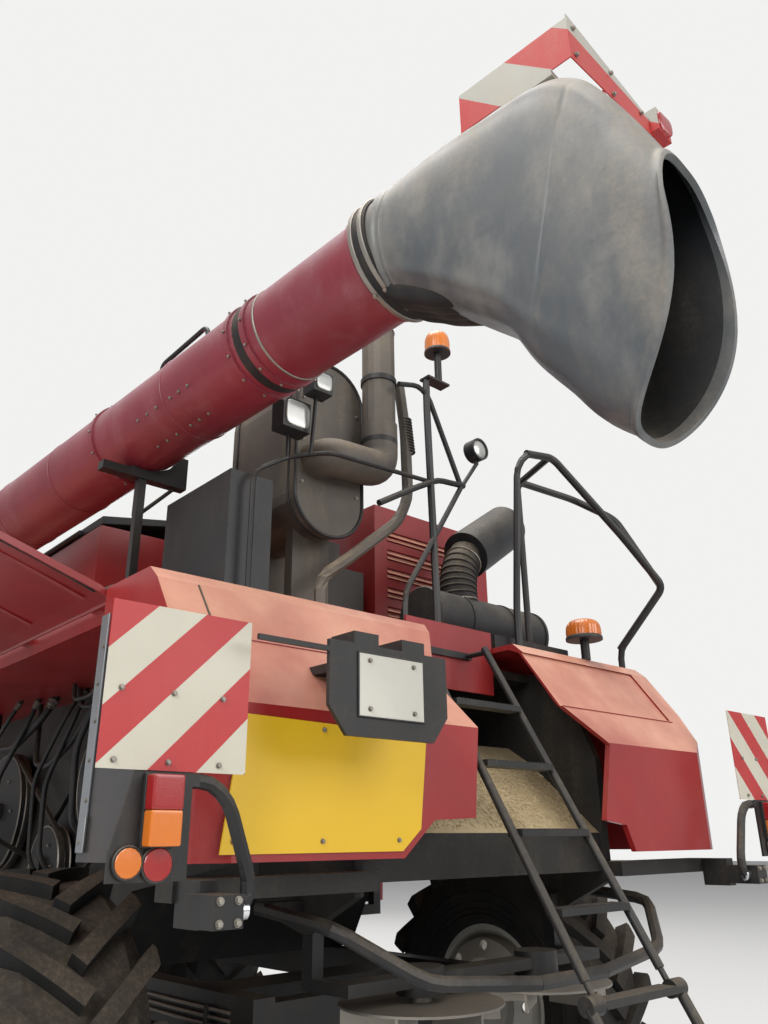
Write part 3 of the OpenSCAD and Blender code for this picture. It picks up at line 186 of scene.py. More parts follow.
def facing(tree):
    """Normal of the surface at the point that is shaded."""
    return tree.nodes.new("ShaderNodeNewGeometry").outputs["Normal"]


def parted(tree, vector):
    """X, Y and Z sockets of a vector's socket."""
    node = tree.nodes.new("ShaderNodeSeparateXYZ")
    tree.links.new(vector, node.inputs[0])
    return [node.outputs[axis] for axis in "XYZ"]


def noise(tree, vector, scale, detail, roughness, stretch=None):
    """Noise socket on a vector's socket, stretched along its axes if asked."""
    node = tree.nodes.new("ShaderNodeTexNoise")
    node.inputs["Scale"].default_value = scale
    node.inputs["Detail"].default_value = detail
    node.inputs["Roughness"].default_value = roughness
    if stretch:
        mapping = tree.nodes.new("ShaderNodeMapping")
        mapping.inputs["Scale"].default_value = stretch
        tree.links.new(vector, mapping.inputs["Vector"])
        vector = mapping.outputs["Vector"]
    tree.links.new(vector, node.inputs["Vector"])
    return node.outputs["Fac"]


def build_dust_and_sheen(tree, inlet, outlet):
    """Dust lies where the surface looks up, in patches and fine specks; on the tube and the spout the same
    mask also paints sheen and light.
    """
    place = here(tree)
    upward = ramp(tree, parted(tree, facing(tree))[2], -0.25, 0.85)
    patches = ramp(tree, noise(tree, place, 2.6, 6.0, 0.62), 0.30, 0.72)
    specks = ramp(tree, noise(tree, place, 55.0, 3.0, 0.7), 0.42, 0.66)
    runs = ramp(tree, noise(tree, place, 9.0, 4.0, 0.6, (1.0, 1.0, 0.16)), 0.42, 0.72)
    flat = math_node(tree, "MULTIPLY", upward, math_node(tree, "ADD", patches, 0.35))
    dust_and_sheen_film = math_node(tree, "MULTIPLY", patches, math_node(tree, "MULTIPLY", runs, 0.38))
    base = math_node(tree, "ADD", flat, dust_and_sheen_film)
    speckled = math_node(tree, "ADD", math_node(tree, "MULTIPLY", specks, 0.45), 0.62)
    fine = math_node(tree, "MULTIPLY", base, speckled)
    total = math_node(tree, "MULTIPLY", fine, inlet.outputs["Amount"], clamp=True)
    tree.links.new(total, outlet.inputs["Mask"])


def build_grain(tree, inlet, outlet):
    """Fine orange peel and broad tone change of a sprayed or moulded surface."""
    place = here(tree)
    fine = noise(tree, place, 190.0, 2.0, 0.5)
    broad = noise(tree, place, 1.7, 3.0, 0.5)
    tree.links.new(fine, outlet.inputs["Height"])
    tree.links.new(ramp(tree, broad, 0.25, 0.75), outlet.inputs["Tone"])


def build_scuffs(tree, inlet, outlet):
    """Thin scratches and small chips, more of them as Amount rises."""
    place = here(tree)
    lines = noise(tree, place, 16.0, 5.0, 0.75, (6.0, 1.0, 1.4))
    chips = noise(tree, place, 38.0, 5.0, 0.8)
    patch = ramp(tree, noise(tree, place, 1.3, 2.0, 0.5), 0.45, 0.62)
    thin = ramp(tree, lines, 0.66, 0.70)
    small = ramp(tree, chips, 0.69, 0.72)
    both = math_node(tree, "MAXIMUM", thin, small)
    masked = math_node(tree, "MULTIPLY", both, patch)
    total = math_node(tree, "MULTIPLY", masked, inlet.outputs["Amount"], clamp=True)
    tree.links.new(total, outlet.inputs["Mask"])


def build_cover_and_light(tree, inlet, outlet):
    """Broken cover where the surface looks up, growing from one normal Z to another: chaff on one finish,
    sun-bleach with painted light from above on the red paint.
    """
    cloud = ramp(tree, noise(tree, here(tree), 2.2, 4.0, 0.55), 0.2, 0.8)
    upward = ramp(tree, parted(tree, facing(tree))[2], 0.0, 1.0)
    tree.links.new(inlet.outputs["Low"], upward.node.inputs["From Min"])
    tree.links.new(inlet.outputs["High"], upward.node.inputs["From Max"])
    cover = math_node(tree, "ADD", cloud, inlet.outputs["Least"])
    tree.links.new(math_node(tree, "MULTIPLY", upward, cover, clamp=True), outlet.inputs["Mask"])


def build_bars(tree, inlet, outlet):
    """Bars across x X + y |Y| + z Z of the Object coordinates, each over its share of the period."""
    x, y, z = parted(tree, here(tree))
    parts = [math_node(tree, "MULTIPLY", socket, inlet.outputs[label]) for socket, label in
             ((x, "X"), (math_node(tree, "ABSOLUTE", y), "Y"), (z, "Z"))]
    slant = math_node(tree, "ADD", math_node(tree, "ADD", parts[0], parts[1]), parts[2])
    turns = math_node(tree, "SUBTRACT", math_node(tree, "DIVIDE", slant, inlet.outputs["Period"]),
                      inlet.outputs["Start"])
    bar = math_node(tree, "LESS_THAN", math_node(tree, "FRACT", turns), inlet.outputs["Share"])
    tree.links.new(bar, outlet.inputs["Mask"])


FLOAT = "NodeSocketFloat"
settled_dust_and_sheen = group("settled dust and sheen", [("Amount", FLOAT, 0.6)], [("Mask", FLOAT)], build_dust_and_sheen)
surface_grain = group("surface grain", [], [("Height", FLOAT), ("Tone", FLOAT)], build_grain)
scuff_marks = group("scuff marks", [("Amount", FLOAT, 0.5)], [("Mask", FLOAT)], build_scuffs)
upward_cover_and_light = group("upward cover and light", [("Low", FLOAT, 0.15), ("High", FLOAT, 0.75), ("Least", FLOAT, 0.35)],
                     [("Mask", FLOAT)], build_cover_and_light)
slanted_bars = group("slanted bars", [("X", FLOAT, 0.0), ("Y", FLOAT, 0.0), ("Z", FLOAT, 1.0),
                     ("Period", FLOAT, 0.3), ("Start", FLOAT, 0.0), ("Share", FLOAT, 0.5)],
                     [("Mask", FLOAT)], build_bars)

FIELD_DUST = (0.36, 0.27, 0.165)
SHADE = 0.72             # second tone of a finish, as a share of the first
DUST_ROUGHNESS = 0.85
TONE_ROUGHNESS = 0.10    # added where the tone changes
COAT_ROUGHNESS = 0.2
BUMP_REACH = 0.002
DUST_HEIGHT = 0.8        # next to the grain's height of one


def place_group(tree, source, **values):
    """A node group placed in a material, with its inputs set."""
    node = tree.nodes.new("ShaderNodeGroup")
    node.node_tree = source
    for key, value in values.items():
        node.inputs[key].default_value = value
    return node


def finish(name, color, shade=None, rough=0.45, metal=0.0, dust=0.5, dust_and_sheen_color=FIELD_DUST,
           scuffs=0.0, scuff_color=(0.30, 0.29, 0.27), bump=0.15, coat=0.0, shine=0.5, over=None):
    """Painted, moulded or bare finish: two tones, scuffs, then dust, which on the tube and the spout is
    partly painted sheen and light, with a fine bump.

    over(tree, color_socket) may draw a pattern under the scuffs and the dust.
    """
    material = bpy.data.materials.new(name)
    material.use_nodes = True
    tree = material.node_tree
    tree.nodes.clear()
    out = tree.nodes.new("ShaderNodeOutputMaterial")
    skin = tree.nodes.new("ShaderNodeBsdfPrincipled")
    tree.links.new(skin.outputs[0], out.inputs[0])
    grain = place_group(tree, surface_grain)
    body = mix_color(tree, grain.outputs["Tone"], color, shade or tuple(c * SHADE for c in color))
    if over:
        body = over(tree, body)
    marks = place_group(tree, scuff_marks, Amount=scuffs)
    body = mix_color(tree, marks.outputs["Mask"], body, scuff_color)
    dust_and_sheen_film = place_group(tree, settled_dust_and_sheen, Amount=dust)
    body = mix_color(tree, dust_and_sheen_film.outputs["Mask"], body, dust_and_sheen_color)
    tree.links.new(body, skin.inputs["Base Color"])
    dull = math_node(tree, "MULTIPLY", dust_and_sheen_film.outputs["Mask"], DUST_ROUGHNESS - rough)
    patchy = math_node(tree, "MULTIPLY", grain.outputs["Tone"], TONE_ROUGHNESS)
    total = math_node(tree, "ADD", math_node(tree, "ADD", dull, patchy), rough, clamp=True)
    tree.links.new(total, skin.inputs["Roughness"])
    skin.inputs["Metallic"].default_value = metal
    skin.inputs["Specular IOR Level"].default_value = shine
    skin.inputs["Coat Weight"].default_value = coat
    skin.inputs["Coat Roughness"].default_value = COAT_ROUGHNESS
    if bump:
        relief = tree.nodes.new("ShaderNodeBump")
        relief.inputs["Strength"].default_value = bump
        relief.inputs["Distance"].default_value = BUMP_REACH
        settled = math_node(tree, "MULTIPLY", dust_and_sheen_film.outputs["Mask"], DUST_HEIGHT)
        height = math_node(tree, "ADD", grain.outputs["Height"], settled)
        tree.links.new(height, relief.inputs["Height"])
        tree.links.new(relief.outputs["Normal"], skin.inputs["Normal"])
    return material


# Materials.

# Where black painted shade lies on the left panel's side: ahead of X, left of Y and below Z.
PAINTED_SHADE_X = -5.02
PAINTED_SHADE_Y = 1.482
PAINTED_SHADE_Z = 2.22


def chalked_and_lit(tree, body):
    """Sun-bleached red where the sheet looks up, partly painted light from above that lightens the upward
    faces.
    """
    cover = place_group(tree, upward_cover_and_light, Low=0.15, High=0.75, Least=0.35)
    return mix_color(tree, cover.outputs["Mask"], body, (0.66, 0.315, 0.210))


def chaffed(tree, body):
    """Tan chaff where the sheet looks up."""
    cover = place_group(tree, upward_cover_and_light, Low=0.40, High=0.68, Least=0.70)
    return mix_color(tree, cover.outputs["Mask"], body, (0.50, 0.39, 0.225))


def shaded_side(tree, body):
    """Chalked and lit red, and black painted shade where the left panel turns forward beside the dark bay."""
    x, y, z = parted(tree, here(tree))
    # Mask of the black painted shade on the panel's side.
    forward = math_node(tree, "GREATER_THAN", x, PAINTED_SHADE_X)
    outer = math_node(tree, "GREATER_THAN", y, PAINTED_SHADE_Y)
    low = math_node(tree, "LESS_THAN", z, PAINTED_SHADE_Z)
    mask = math_node(tree, "MULTIPLY", math_node(tree, "MULTIPLY", forward, outer), low)
    return mix_color(tree, mask, chalked_and_lit(tree, body), (0.020, 0.020, 0.022))


def smeared(tree, body):
    """Pale hand marks and dark rubbed streaks of a dusty moulded shell."""
    place = here(tree)
    cloud = ramp(tree, noise(tree, place, 3.0, 6.0, 0.62, (1.0, 1.0, 0.6)), 0.44, 0.66)
    dark = ramp(tree, noise(tree, place, 5.5, 7.0, 0.7, (0.5, 1.0, 1.0)), 0.55, 0.70)
    lighter = mix_color(tree, math_node(tree, "MULTIPLY", cloud, 0.55), body, (0.235, 0.225, 0.200))
    return mix_color(tree, math_node(tree, "MULTIPLY", dark, 0.6), lighter, (0.050, 0.055, 0.065))


def barred(tree, body, **values):
    """Red bars on the body colour, slanted and spaced as the values say."""
    bar = place_group(tree, slanted_bars, **values)
    return mix_color(tree, bar.outputs["Mask"], body, (0.42, 0.016, 0.018))


def rear_stripes(tree, body):
    """Bars that fall outward on the boards across the machine: fract((Z + |Y|) / 0.284 - 0.567) < 0.49."""
    return barred(tree, body, Y=1.0, Z=1.0, Period=0.284, Start=0.567, Share=0.49)


def spout_stripes(tree, body):
    """Bars that fall rearward along the spout's board: fract((Z - X) / 0.402 - 0.159) < 0.48."""
    return barred(tree, body, X=-1.0, Z=1.0, Period=0.402, Start=0.159, Share=0.48)


def sum_of_axes(tree, x, y, z):
    """Socket x X + y Y + z Z of the Object coordinates."""
    parts = [math_node(tree, "MULTIPLY", socket, share)
             for socket, share in zip(parted(tree, here(tree)), (x, y, z))]
    return math_node(tree, "ADD", math_node(tree, "ADD", parts[0], parts[1]), parts[2])


THREADS = 1400.0         # radians a metre across the cloth


def woven(tree, body):
    """Crossed threads: the product of sines along X and Y + Z darkens the cloth between them."""
    across = math_node(tree, "SINE", sum_of_axes(tree, THREADS, 0.0, 0.0))
    along = math_node(tree, "SINE", sum_of_axes(tree, 0.0, THREADS, THREADS))
    mask = ramp(tree, math_node(tree, "MULTIPLY", across, along), -0.6, 0.8)
    return mix_color(tree, mask, body, (0.016, 0.017, 0.020))


def strawed(tree, body):
    """Straws differ in tone from place to place."""
    mask = ramp(tree, noise(tree, here(tree), 120.0, 2.0, 0.6), 0.35, 0.65)
    return mix_color(tree, mask, body, (0.62, 0.50, 0.30))


def red_sheet(name, over):
    """The machine's red, with a pattern over it that holds painted light from above, and on the panels
    painted shade.
    """
    return finish(name, (0.310, 0.012, 0.014), (0.225, 0.008, 0.010), rough=0.32, dust=0.22,
                  dust_and_sheen_color=(0.40, 0.24, 0.165), scuffs=0.30, scuff_color=(0.16, 0.035, 0.032),
                  coat=0.22, over=over)


# Upward faces of the red are lightened partly by sun-bleach and partly by painted light from above.
red_paint = red_sheet("red paint", chalked_and_lit)
# The tube's pale pink dust film is partly real dust and partly a painted sheen.
tube_paint_and_sheen = finish("tube paint and sheen", (0.215, 0.020, 0.034), (0.160, 0.014, 0.026), rough=0.36, dust=0.75,
    dust_and_sheen_color=(0.33, 0.22, 0.23), scuffs=0.35, scuff_color=(0.32, 0.20, 0.20), coat=0.18)
dark_steel = finish("satin black steel", (0.012, 0.0125, 0.014), rough=0.40, dust=0.36,
    dust_and_sheen_color=(0.20, 0.155, 0.10), scuffs=0.5, scuff_color=(0.11, 0.09, 0.075), shine=0.4)
worn_steel = finish("worn bare steel", (0.30, 0.28, 0.25), rough=0.42, metal=0.85, dust=0.45,
    scuffs=0.6, scuff_color=(0.17, 0.09, 0.05))
tyre_rubber = finish("tread rubber", (0.014, 0.014, 0.014), rough=0.75, dust=0.42,
    dust_and_sheen_color=(0.17, 0.13, 0.09), bump=0.35, shine=0.3)
black_rubber = finish("soft black rubber", (0.016, 0.016, 0.017), rough=0.58, dust=0.35, bump=0.25, shine=0.3)
rim_paint = finish("rim paint", (0.56, 0.54, 0.49), rough=0.42, dust=0.50, scuffs=0.4,
    scuff_color=(0.25, 0.18, 0.13))
black_plastic = finish("black moulded plastic", (0.016, 0.018, 0.021), rough=0.42, dust=0.38,
    dust_and_sheen_color=(0.24, 0.19, 0.13), bump=0.3, shine=0.4)
# The grey plastic's warm dust on upward faces is partly real dust and partly painted warm light on the
# spout's shoulder.
grey_plastic = finish("grey moulded plastic and light", (0.092, 0.100, 0.104), (0.064, 0.073, 0.082), rough=0.36,
    dust=0.62, dust_and_sheen_color=(0.38, 0.30, 0.195), scuffs=0.60, scuff_color=(0.17, 0.17, 0.165), bump=0.2,
    over=smeared)
cast_engine = finish("dusty casting", (0.045, 0.043, 0.040), rough=0.6, dust=0.65,
    dust_and_sheen_color=(0.27, 0.21, 0.14), bump=0.45)
hot_steel = finish("heat stained steel", (0.120, 0.104, 0.085), (0.060, 0.053, 0.046), rough=0.50, metal=0.2,
    dust=0.70, dust_and_sheen_color=(0.31, 0.24, 0.16), scuffs=0.6, scuff_color=(0.26, 0.17, 0.10))
chrome_rod = finish("polished rod", (0.72, 0.73, 0.75), rough=0.14, metal=1.0, dust=0.15, bump=0.0)
yellow_paint = finish("bare yellow sheet", (0.74, 0.46, 0.010), (0.68, 0.41, 0.010), rough=0.40, dust=0.10)
white_paint = finish("plate white", (0.66, 0.64, 0.56), rough=0.35, dust=0.25)
board_white = finish("reflective boards", (0.58, 0.54, 0.44), (0.50, 0.47, 0.38), rough=0.36, dust=0.14,
    scuffs=0.35, scuff_color=(0.36, 0.30, 0.22), over=rear_stripes)
spout_board = finish("reflective spout board", (0.40, 0.39, 0.34), (0.34, 0.33, 0.29), rough=0.36, dust=0.45,
    dust_and_sheen_color=(0.42, 0.27, 0.14), scuffs=0.3, scuff_color=(0.30, 0.24, 0.18), over=spout_stripes)
red_lens = finish("red lens", (0.36, 0.010, 0.012), (0.26, 0.008, 0.010), rough=0.16, dust=0.12, coat=0.5)
amber_lens = finish("amber lens", (0.70, 0.19, 0.015), (0.56, 0.13, 0.010), rough=0.18, dust=0.20, coat=0.5)
lamp_glass = finish("dusty lamp glass", (0.46, 0.46, 0.43), (0.36, 0.37, 0.36), rough=0.14, metal=0.3,
    dust=0.40, coat=0.7)
mirror_silver = finish("mirror silver", (0.80, 0.82, 0.84), rough=0.05, metal=1.0, dust=0.10, bump=0.0)
seat_cloth = finish("woven seat cloth", (0.055, 0.058, 0.066), (0.040, 0.043, 0.050), rough=0.85, dust=0.25,
    bump=0.5, over=woven)
galvanised = finish("galvanised sheet", (0.27, 0.29, 0.31), (0.20, 0.215, 0.23), rough=0.36, metal=0.6,
    dust=0.35, scuffs=0.5, scuff_color=(0.12, 0.11, 0.10))
chaff_sheet = finish("chaff covered sheet", (0.015, 0.015, 0.015), rough=0.6, dust=0.45,
    dust_and_sheen_color=(0.24, 0.19, 0.12), bump=0.6, shine=0.3, over=chaffed)
body_sheet = finish("dusty black sheet", (0.022, 0.022, 0.022), (0.014, 0.014, 0.015), rough=0.5, dust=0.55,
    dust_and_sheen_color=(0.20, 0.155, 0.10), scuffs=0.6, scuff_color=(0.12, 0.10, 0.08), shine=0.35)
# The rear panels' red carries black painted shade where the left panel turns forward beside the bay.
panel_paint_with_shade = red_sheet("red paint with painted shade", shaded_side)
chaff_straw = finish("pale straw", (0.44, 0.33, 0.17), (0.34, 0.25, 0.13), rough=0.7, dust=0.0, over=strawed)


def clear_glass(name, color):
    """Tinted window pane."""
    material = bpy.data.materials.new(name)
    material.use_nodes = True
    skin = material.node_tree.nodes["Principled BSDF"]
    skin.inputs["Base Color"].default_value = (*color, 1.0)
    skin.inputs["Roughness"].default_value = 0.05
    skin.inputs["Transmission Weight"].default_value = 0.85
    skin.inputs["IOR"].default_value = 1.45
    return material


cab_glass = clear_glass("tinted glass", (0.50, 0.62, 0.62))

SLOTS = {
    "red_paint": red_paint, "dark_steel": dark_steel, "tyre_rubber": tyre_rubber,
    "rim_paint": rim_paint, "cab_glass": cab_glass, "chrome_rod": chrome_rod,
    "cast_engine": cast_engine, "hot_steel": hot_steel, "black_plastic": black_plastic,
    "grey_plastic": grey_plastic, "board_white": board_white, "lens": red_lens,
    "yellow_paint": yellow_paint, "worn_steel": worn_steel, "amber_lens": amber_lens,
}
OWN_FINISH = {"unloader_tube": tube_paint_and_sheen, "swivel": tube_paint_and_sheen, "number_plate": white_paint,
              "spout_board": spout_board, "threshing_body": body_sheet, "rear_panels": panel_paint_with_shade,
              "residue_hood": chaff_sheet}


def dress_nodes():
    """Gives every CAD node the finish of its slot in the record, or its own one."""
    slots = {p["node"]: p["material_slot"] for p in frame["record"]["subparts"]}
    for name, piece in nodes.items():
        piece.data.materials.clear()
        piece.data.materials.append(OWN_FINISH.get(name, SLOTS[slots[name]]))


# Shapes: each is an array of points and a list of faces.

MM = 0.001
REARWARD = (-1.0, 0.0, 0.0)
LEFTWARD = (0.0, 1.0, 0.0)
UPWARD = (0.0, 0.0, 1.0)
BOX_FACES = [[0, 1, 3, 2], [4, 6, 7, 5], [0, 4, 5, 1], [2, 3, 7, 6], [0, 2, 6, 4], [1, 5, 7, 3]]


def mm(*values):
    """A point given in millimetres, or a list of points."""
    return np.array(values, dtype=float) * MM


def unit(vector):
    """The vector at length one."""
    vector = np.asarray(vector, dtype=float)
    return vector / np.linalg.norm(vector)


def signed_power(value, power):
    """sgn(v) |v|^p, which squares the corners of a circle."""
    return np.sign(value) * np.abs(value) ** power


def plateau(value, middle, width):
    """Flat-topped rise exp(-((v - middle) / width)^4)."""
    return np.exp(-((value - middle) / width) ** 4)


def grid_faces(rows, cols, wrap_rows=False, wrap_cols=True):
    """Quads between the neighbours of a rows x cols grid of points."""
    row = np.arange(rows if wrap_rows else rows - 1)[:, None]
    col = np.arange(cols if wrap_cols else cols - 1)[None, :]
    below, right = (row + 1) % rows, (col + 1) % cols
    corners = (row * cols + col, row * cols + right, below * cols + right, below * cols + col)
    return np.stack(np.broadcast_arrays(*corners), axis=-1).reshape(-1, 4).tolist()


def capped(rings):
    """Closed shape through rings, an array rows x cols x 3, with a face over each end."""
    rows, cols = rings.shape[:2]
    last = (rows - 1) * cols
    faces = grid_faces(rows, cols)
    faces += [list(range(cols)), list(range(last, last + cols))]
    return rings.reshape(-1, 3), faces


def looped(rings):
    """Shape like a hoop: the last ring joins the first."""
    rows, cols = rings.shape[:2]
    return rings.reshape(-1, 3), grid_faces(rows, cols, wrap_rows=True)


def joined(shapes):
    """Several shapes as one."""
    points, faces, count = [], [], 0
    for place, loops in shapes:
        points.append(place)
        faces += [[i + count for i in loop] for loop in loops]
        count += len(place)
    return np.concatenate(points), faces


def spline(points, count):
    """Even steps on a smooth curve through the points: cubics whose slopes follow their neighbours."""
    points = np.asarray(points, dtype=float)
    ends = np.concatenate([[2 * points[0] - points[1]], points, [2 * points[-1] - points[-2]]])
    step = np.linspace(0.0, len(points) - 1.0, count)
    index = np.minimum(step.astype(int), len(points) - 2)
    part = (step - index)[:, None]
    a, b, c, d = (ends[index + k] for k in range(4))
    return 0.5 * (2 * b + (c - a) * part + (2 * a - 5 * b + 4 * c - d) * part ** 2
                  + (3 * b - a - 3 * c + d) * part ** 3)


CORNER_STEPS = 10


def eased(points, reach):
    """Path whose corners are the curves (1-t)^2 a + 2t(1-t) b + t^2 c, each reach long at most."""
    points = mm(*points)
    t = np.linspace(0.0, 1.0, CORNER_STEPS)[:, None]
    path = [points[:1]]
    for before, corner, after in zip(points, points[1:], points[2:]):
        near = min(reach * MM, 0.49 * np.linalg.norm(before - corner))
        far = min(reach * MM, 0.49 * np.linalg.norm(after - corner))
        start, end = corner + near * unit(before - corner), corner + far * unit(after - corner)
        path.append((1 - t) ** 2 * start + 2 * t * (1 - t) * corner + t ** 2 * end)
    return np.concatenate(path + [points[-1:]])


def swept(path, radius, sides=12, hoop=False):
    """Rod of a radius along a path, its rings square to the path and turned as little as can be."""
    path = np.asarray(path, dtype=float)
    if hoop:
        along = np.roll(path, -1, axis=0) - np.roll(path, 1, axis=0)
    else:
        along = np.gradient(path, axis=0)
    along /= np.linalg.norm(along, axis=1)[:, None]
    angle = np.linspace(0.0, 2.0 * math.pi, sides, endpoint=False)[:, None]
    side = np.cross(along[0], (0.31, 0.52, 0.79))
    rings = []
    for place, way in zip(path, along):
        side = unit(side - way * (side @ way))
        rings.append(place + radius * (np.cos(angle) * side + np.sin(angle) * np.cross(way, side)))
    rings = np.array(rings)
    return looped(rings) if hoop else capped(rings)


def turned(profile, origin, axis, turn=48, ribs=0, depth=0.0, hoop=False):
    """Profile rows [distance along the axis, radius] turned about it; ribs swell the radius by depth."""
    profile = np.asarray(profile, dtype=float)
    axis = unit(axis)
    side = unit(np.cross(axis, (0.23, 0.31, 0.92)))
    angle = np.linspace(0.0, 2.0 * math.pi, turn, endpoint=False)[:, None]
    swell = 1.0 + depth * np.cos(ribs * angle)
    spokes = (np.cos(angle) * side + np.sin(angle) * np.cross(axis, side)) * swell
    rings = origin + profile[:, 0, None, None] * axis + profile[:, 1, None, None] * spokes[None]
    return looped(rings) if hoop else capped(rings)


def bead(origin, axis, radius, size, turn=64, section=8):
    """Round-edged ring: a circle of a size turned about the axis at a radius."""
    angle = np.linspace(0.0, 2.0 * math.pi, section, endpoint=False)
    profile = np.column_stack([size * np.sin(angle), radius + size * np.cos(angle)])
    return turned(profile, origin, axis, turn, hoop=True)


def pillow(middle, half, square=(4.0, 3.0), lean=0.0, rows=24, cols=48):
    """Crowned closed form: half sizes times powers 2/n of cos and sin of the turn and of the rise.

    lean moves x by that share of the height.
    """
    rise = np.linspace(-0.4999 * math.pi, 0.4999 * math.pi, rows)[:, None]
    turn = np.linspace(0.0, 2.0 * math.pi, cols, endpoint=False)[None, :]
    ring = signed_power(np.cos(rise), 2.0 / square[1])
    x = half[0] * ring * signed_power(np.cos(turn), 2.0 / square[0])
    y = half[1] * ring * signed_power(np.sin(turn), 2.0 / square[0])
    z = half[2] * signed_power(np.sin(rise), 2.0 / square[1]) + 0.0 * turn
    return capped(np.asarray(middle) + np.stack([x + lean * z, y, z], axis=-1))


def boxes(rows):
    """Boxes from rows of two opposite corners."""
    pick = np.array([[i >> 2 & 1, i >> 1 & 1, i & 1] for i in range(8)])
    return joined([(np.array(row, dtype=float)[pick, [0, 1, 2]], BOX_FACES) for row in rows])


def thick(sheet, depth):
    """Sheet of points, a rows x cols grid, with a wall: depth leads from its front to its back."""
    rows, cols = sheet.shape[:2]
    total = rows * cols
    index = np.arange(total).reshape(rows, cols)
    rim = np.concatenate([index[0, :-1], index[:-1, -1], index[-1, :0:-1], index[:0:-1, 0]])
    after = np.roll(rim, -1)
    front = np.array(grid_faces(rows, cols, wrap_cols=False))
    faces = front.tolist() + (front[:, ::-1] + total).tolist()
    faces += np.column_stack([after, rim, rim + total, after + total]).tolist()
    return np.concatenate([sheet.reshape(-1, 3), (sheet + depth).reshape(-1, 3)]), faces


def bolts(places, way, size):
    """Hexagon heads on round washers, all facing one way; size is the washer's radius.

    A head's radius is r cos(30) / cos((angle mod 60) - 30) degrees.
    """
    way = unit(way)
    side = unit(np.cross(way, (0.23, 0.31, 0.92)))
    angle = np.radians(np.arange(0, 360, 30))[:, None]
    flats = math.cos(math.pi / 6) / np.cos(angle % (math.pi / 3) - math.pi / 6)
    spokes = np.cos(angle) * side + np.sin(angle) * np.cross(way, side)
    rows = ((-0.1, 1.0, 1), (0.22, 1.0, 1), (0.22, 0.8, flats), (0.85, 0.8, flats), (1.0, 0.55, 1))
    template = np.array([way * rise * size + spokes * flat * radius * size for rise, radius, flat in rows])
    return joined([capped(template + place) for place in places])


def add_piece(name, shape, material, body, bevel=0.0, crease=38.0):
    """Links a shape as an object that rides on a body; faces flatter than crease are shaded smooth."""
    mesh = bpy.data.meshes.new(name)
    mesh.from_pydata(shape[0].tolist(), [], shape[1])
    skin = bmesh.new()
    skin.from_mesh(mesh)
    bmesh.ops.recalc_face_normals(skin, faces=skin.faces)
    skin.to_mesh(mesh)
    skin.free()
    mesh.polygons.foreach_set("use_smooth", np.ones(len(mesh.polygons), dtype=bool))
    mesh.set_sharp_from_angle(angle=math.radians(crease))
    mesh.materials.append(material)
    piece = bpy.data.objects.new(name, mesh)
    bpy.context.scene.collection.objects.link(piece)
    if bevel:
        edge = piece.modifiers.new("edge", "BEVEL")
        edge.width = bevel
        edge.segments = 2
        edge.limit_method = "ANGLE"
    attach(piece, body)
    return piece


# Spout and tube.

# Sections as in the frame's source, in millimetres from the middle of the tube's end. Columns: top back,
# top up, bottom back, bottom up, half width, squareness and bulge of the mouth.
SPOUT_ROWS = np.array((
    (-8, 224, -8, -224, 224, 2.0, 0), (120, 238, 60, -250, 222, 2.2, 0),
    (330, 240, 200, -336, 221, 2.6, 0), (564, 243, 368, -478, 213, 2.9, 0),
    (736, 243, 505, -611, 211, 3.0, 0), (841, 190, 583, -752, 210, 3.0, 30),
    (908, 90, 680, -884, 205, 3.0, 60), (987, -72, 755, -985, 199, 3.0, 87),
    (1080, -300, 866, -1082, 199, 2.9, 110)))
TUBE_END = mm(-5457, 918, 3620)
TUBE_TURN = math.radians(4.8)
TUBE_FALL = math.radians(3.4)
TUBE_WAY = np.array((math.cos(TUBE_TURN) * math.cos(TUBE_FALL),
                     math.sin(TUBE_TURN) * math.cos(TUBE_FALL), -math.sin(TUBE_FALL)))
SPOUT_BACK = np.array((-math.cos(TUBE_TURN), -math.sin(TUBE_TURN), 0.0))
SPOUT_LEFT = np.array((-math.sin(TUBE_TURN), math.cos(TUBE_TURN), 0.0))
TUBE_UP = np.cross(TUBE_WAY, SPOUT_LEFT)
TUBE_RADIUS = 0.210
SPOUT_WALL = 0.009
SPOUT_RINGS = 150
SPOUT_TURN = 144
BOOT_PATH = ((20, -190), (72, -232), (140, -272), (212, -318), (330, -372))
BOARD_BOLTS = ((-70, 300), (-70, 420), (180, 330), (180, 430), (400, 415))
PATCH_RISE = 0.005


def spout_place(back, right, up):
    """Point in the spout's own frame, in millimetres behind, right of and above the ring's middle."""
    return TUBE_END + MM * (back * SPOUT_BACK - right * SPOUT_LEFT) + np.array((0.0, 0.0, up * MM))


def spout_skin():
    """Outer face of the spout, its outward ways and the angles round it.

    Between top and bottom a section runs as sgn(sin)|sin|^(2/n), across as sgn(cos)|cos|^(2/n);
    the sides of the mouth bulge by b (1 - s^2)(1 - 0.6 s).
    """
    table = spline(SPOUT_ROWS, SPOUT_RINGS)
    x1, z1, x0, z0, half, square, bulge = (column[:, None] for column in table.T)
    angle = np.linspace(0.0, 2.0 * math.pi, SPOUT_TURN, endpoint=False)[None, :]
    s = signed_power(np.sin(angle), 2.0 / square)
    c = signed_power(np.cos(angle), 2.0 / square)
    back = (x1 + x0) / 2 + s * (x1 - x0) / 2 + bulge * (1 - s * s) * (1 - 0.6 * s)
    up = (z1 + z0) / 2 + s * (z1 - z0) / 2
    face = TUBE_END + MM * (back[..., None] * SPOUT_BACK + (half * c)[..., None] * SPOUT_LEFT)
    face[..., 2] += MM * up
    round_way = np.roll(face, -1, axis=1) - np.roll(face, 1, axis=1)
    out = np.cross(np.gradient(face, axis=0), round_way)
    out /= np.linalg.norm(out, axis=2)[..., None] + 1e-12
    outward = np.sum(out * (face - face.mean(axis=1)[:, None]), axis=2, keepdims=True)
    return face, out * np.sign(outward.mean()), angle


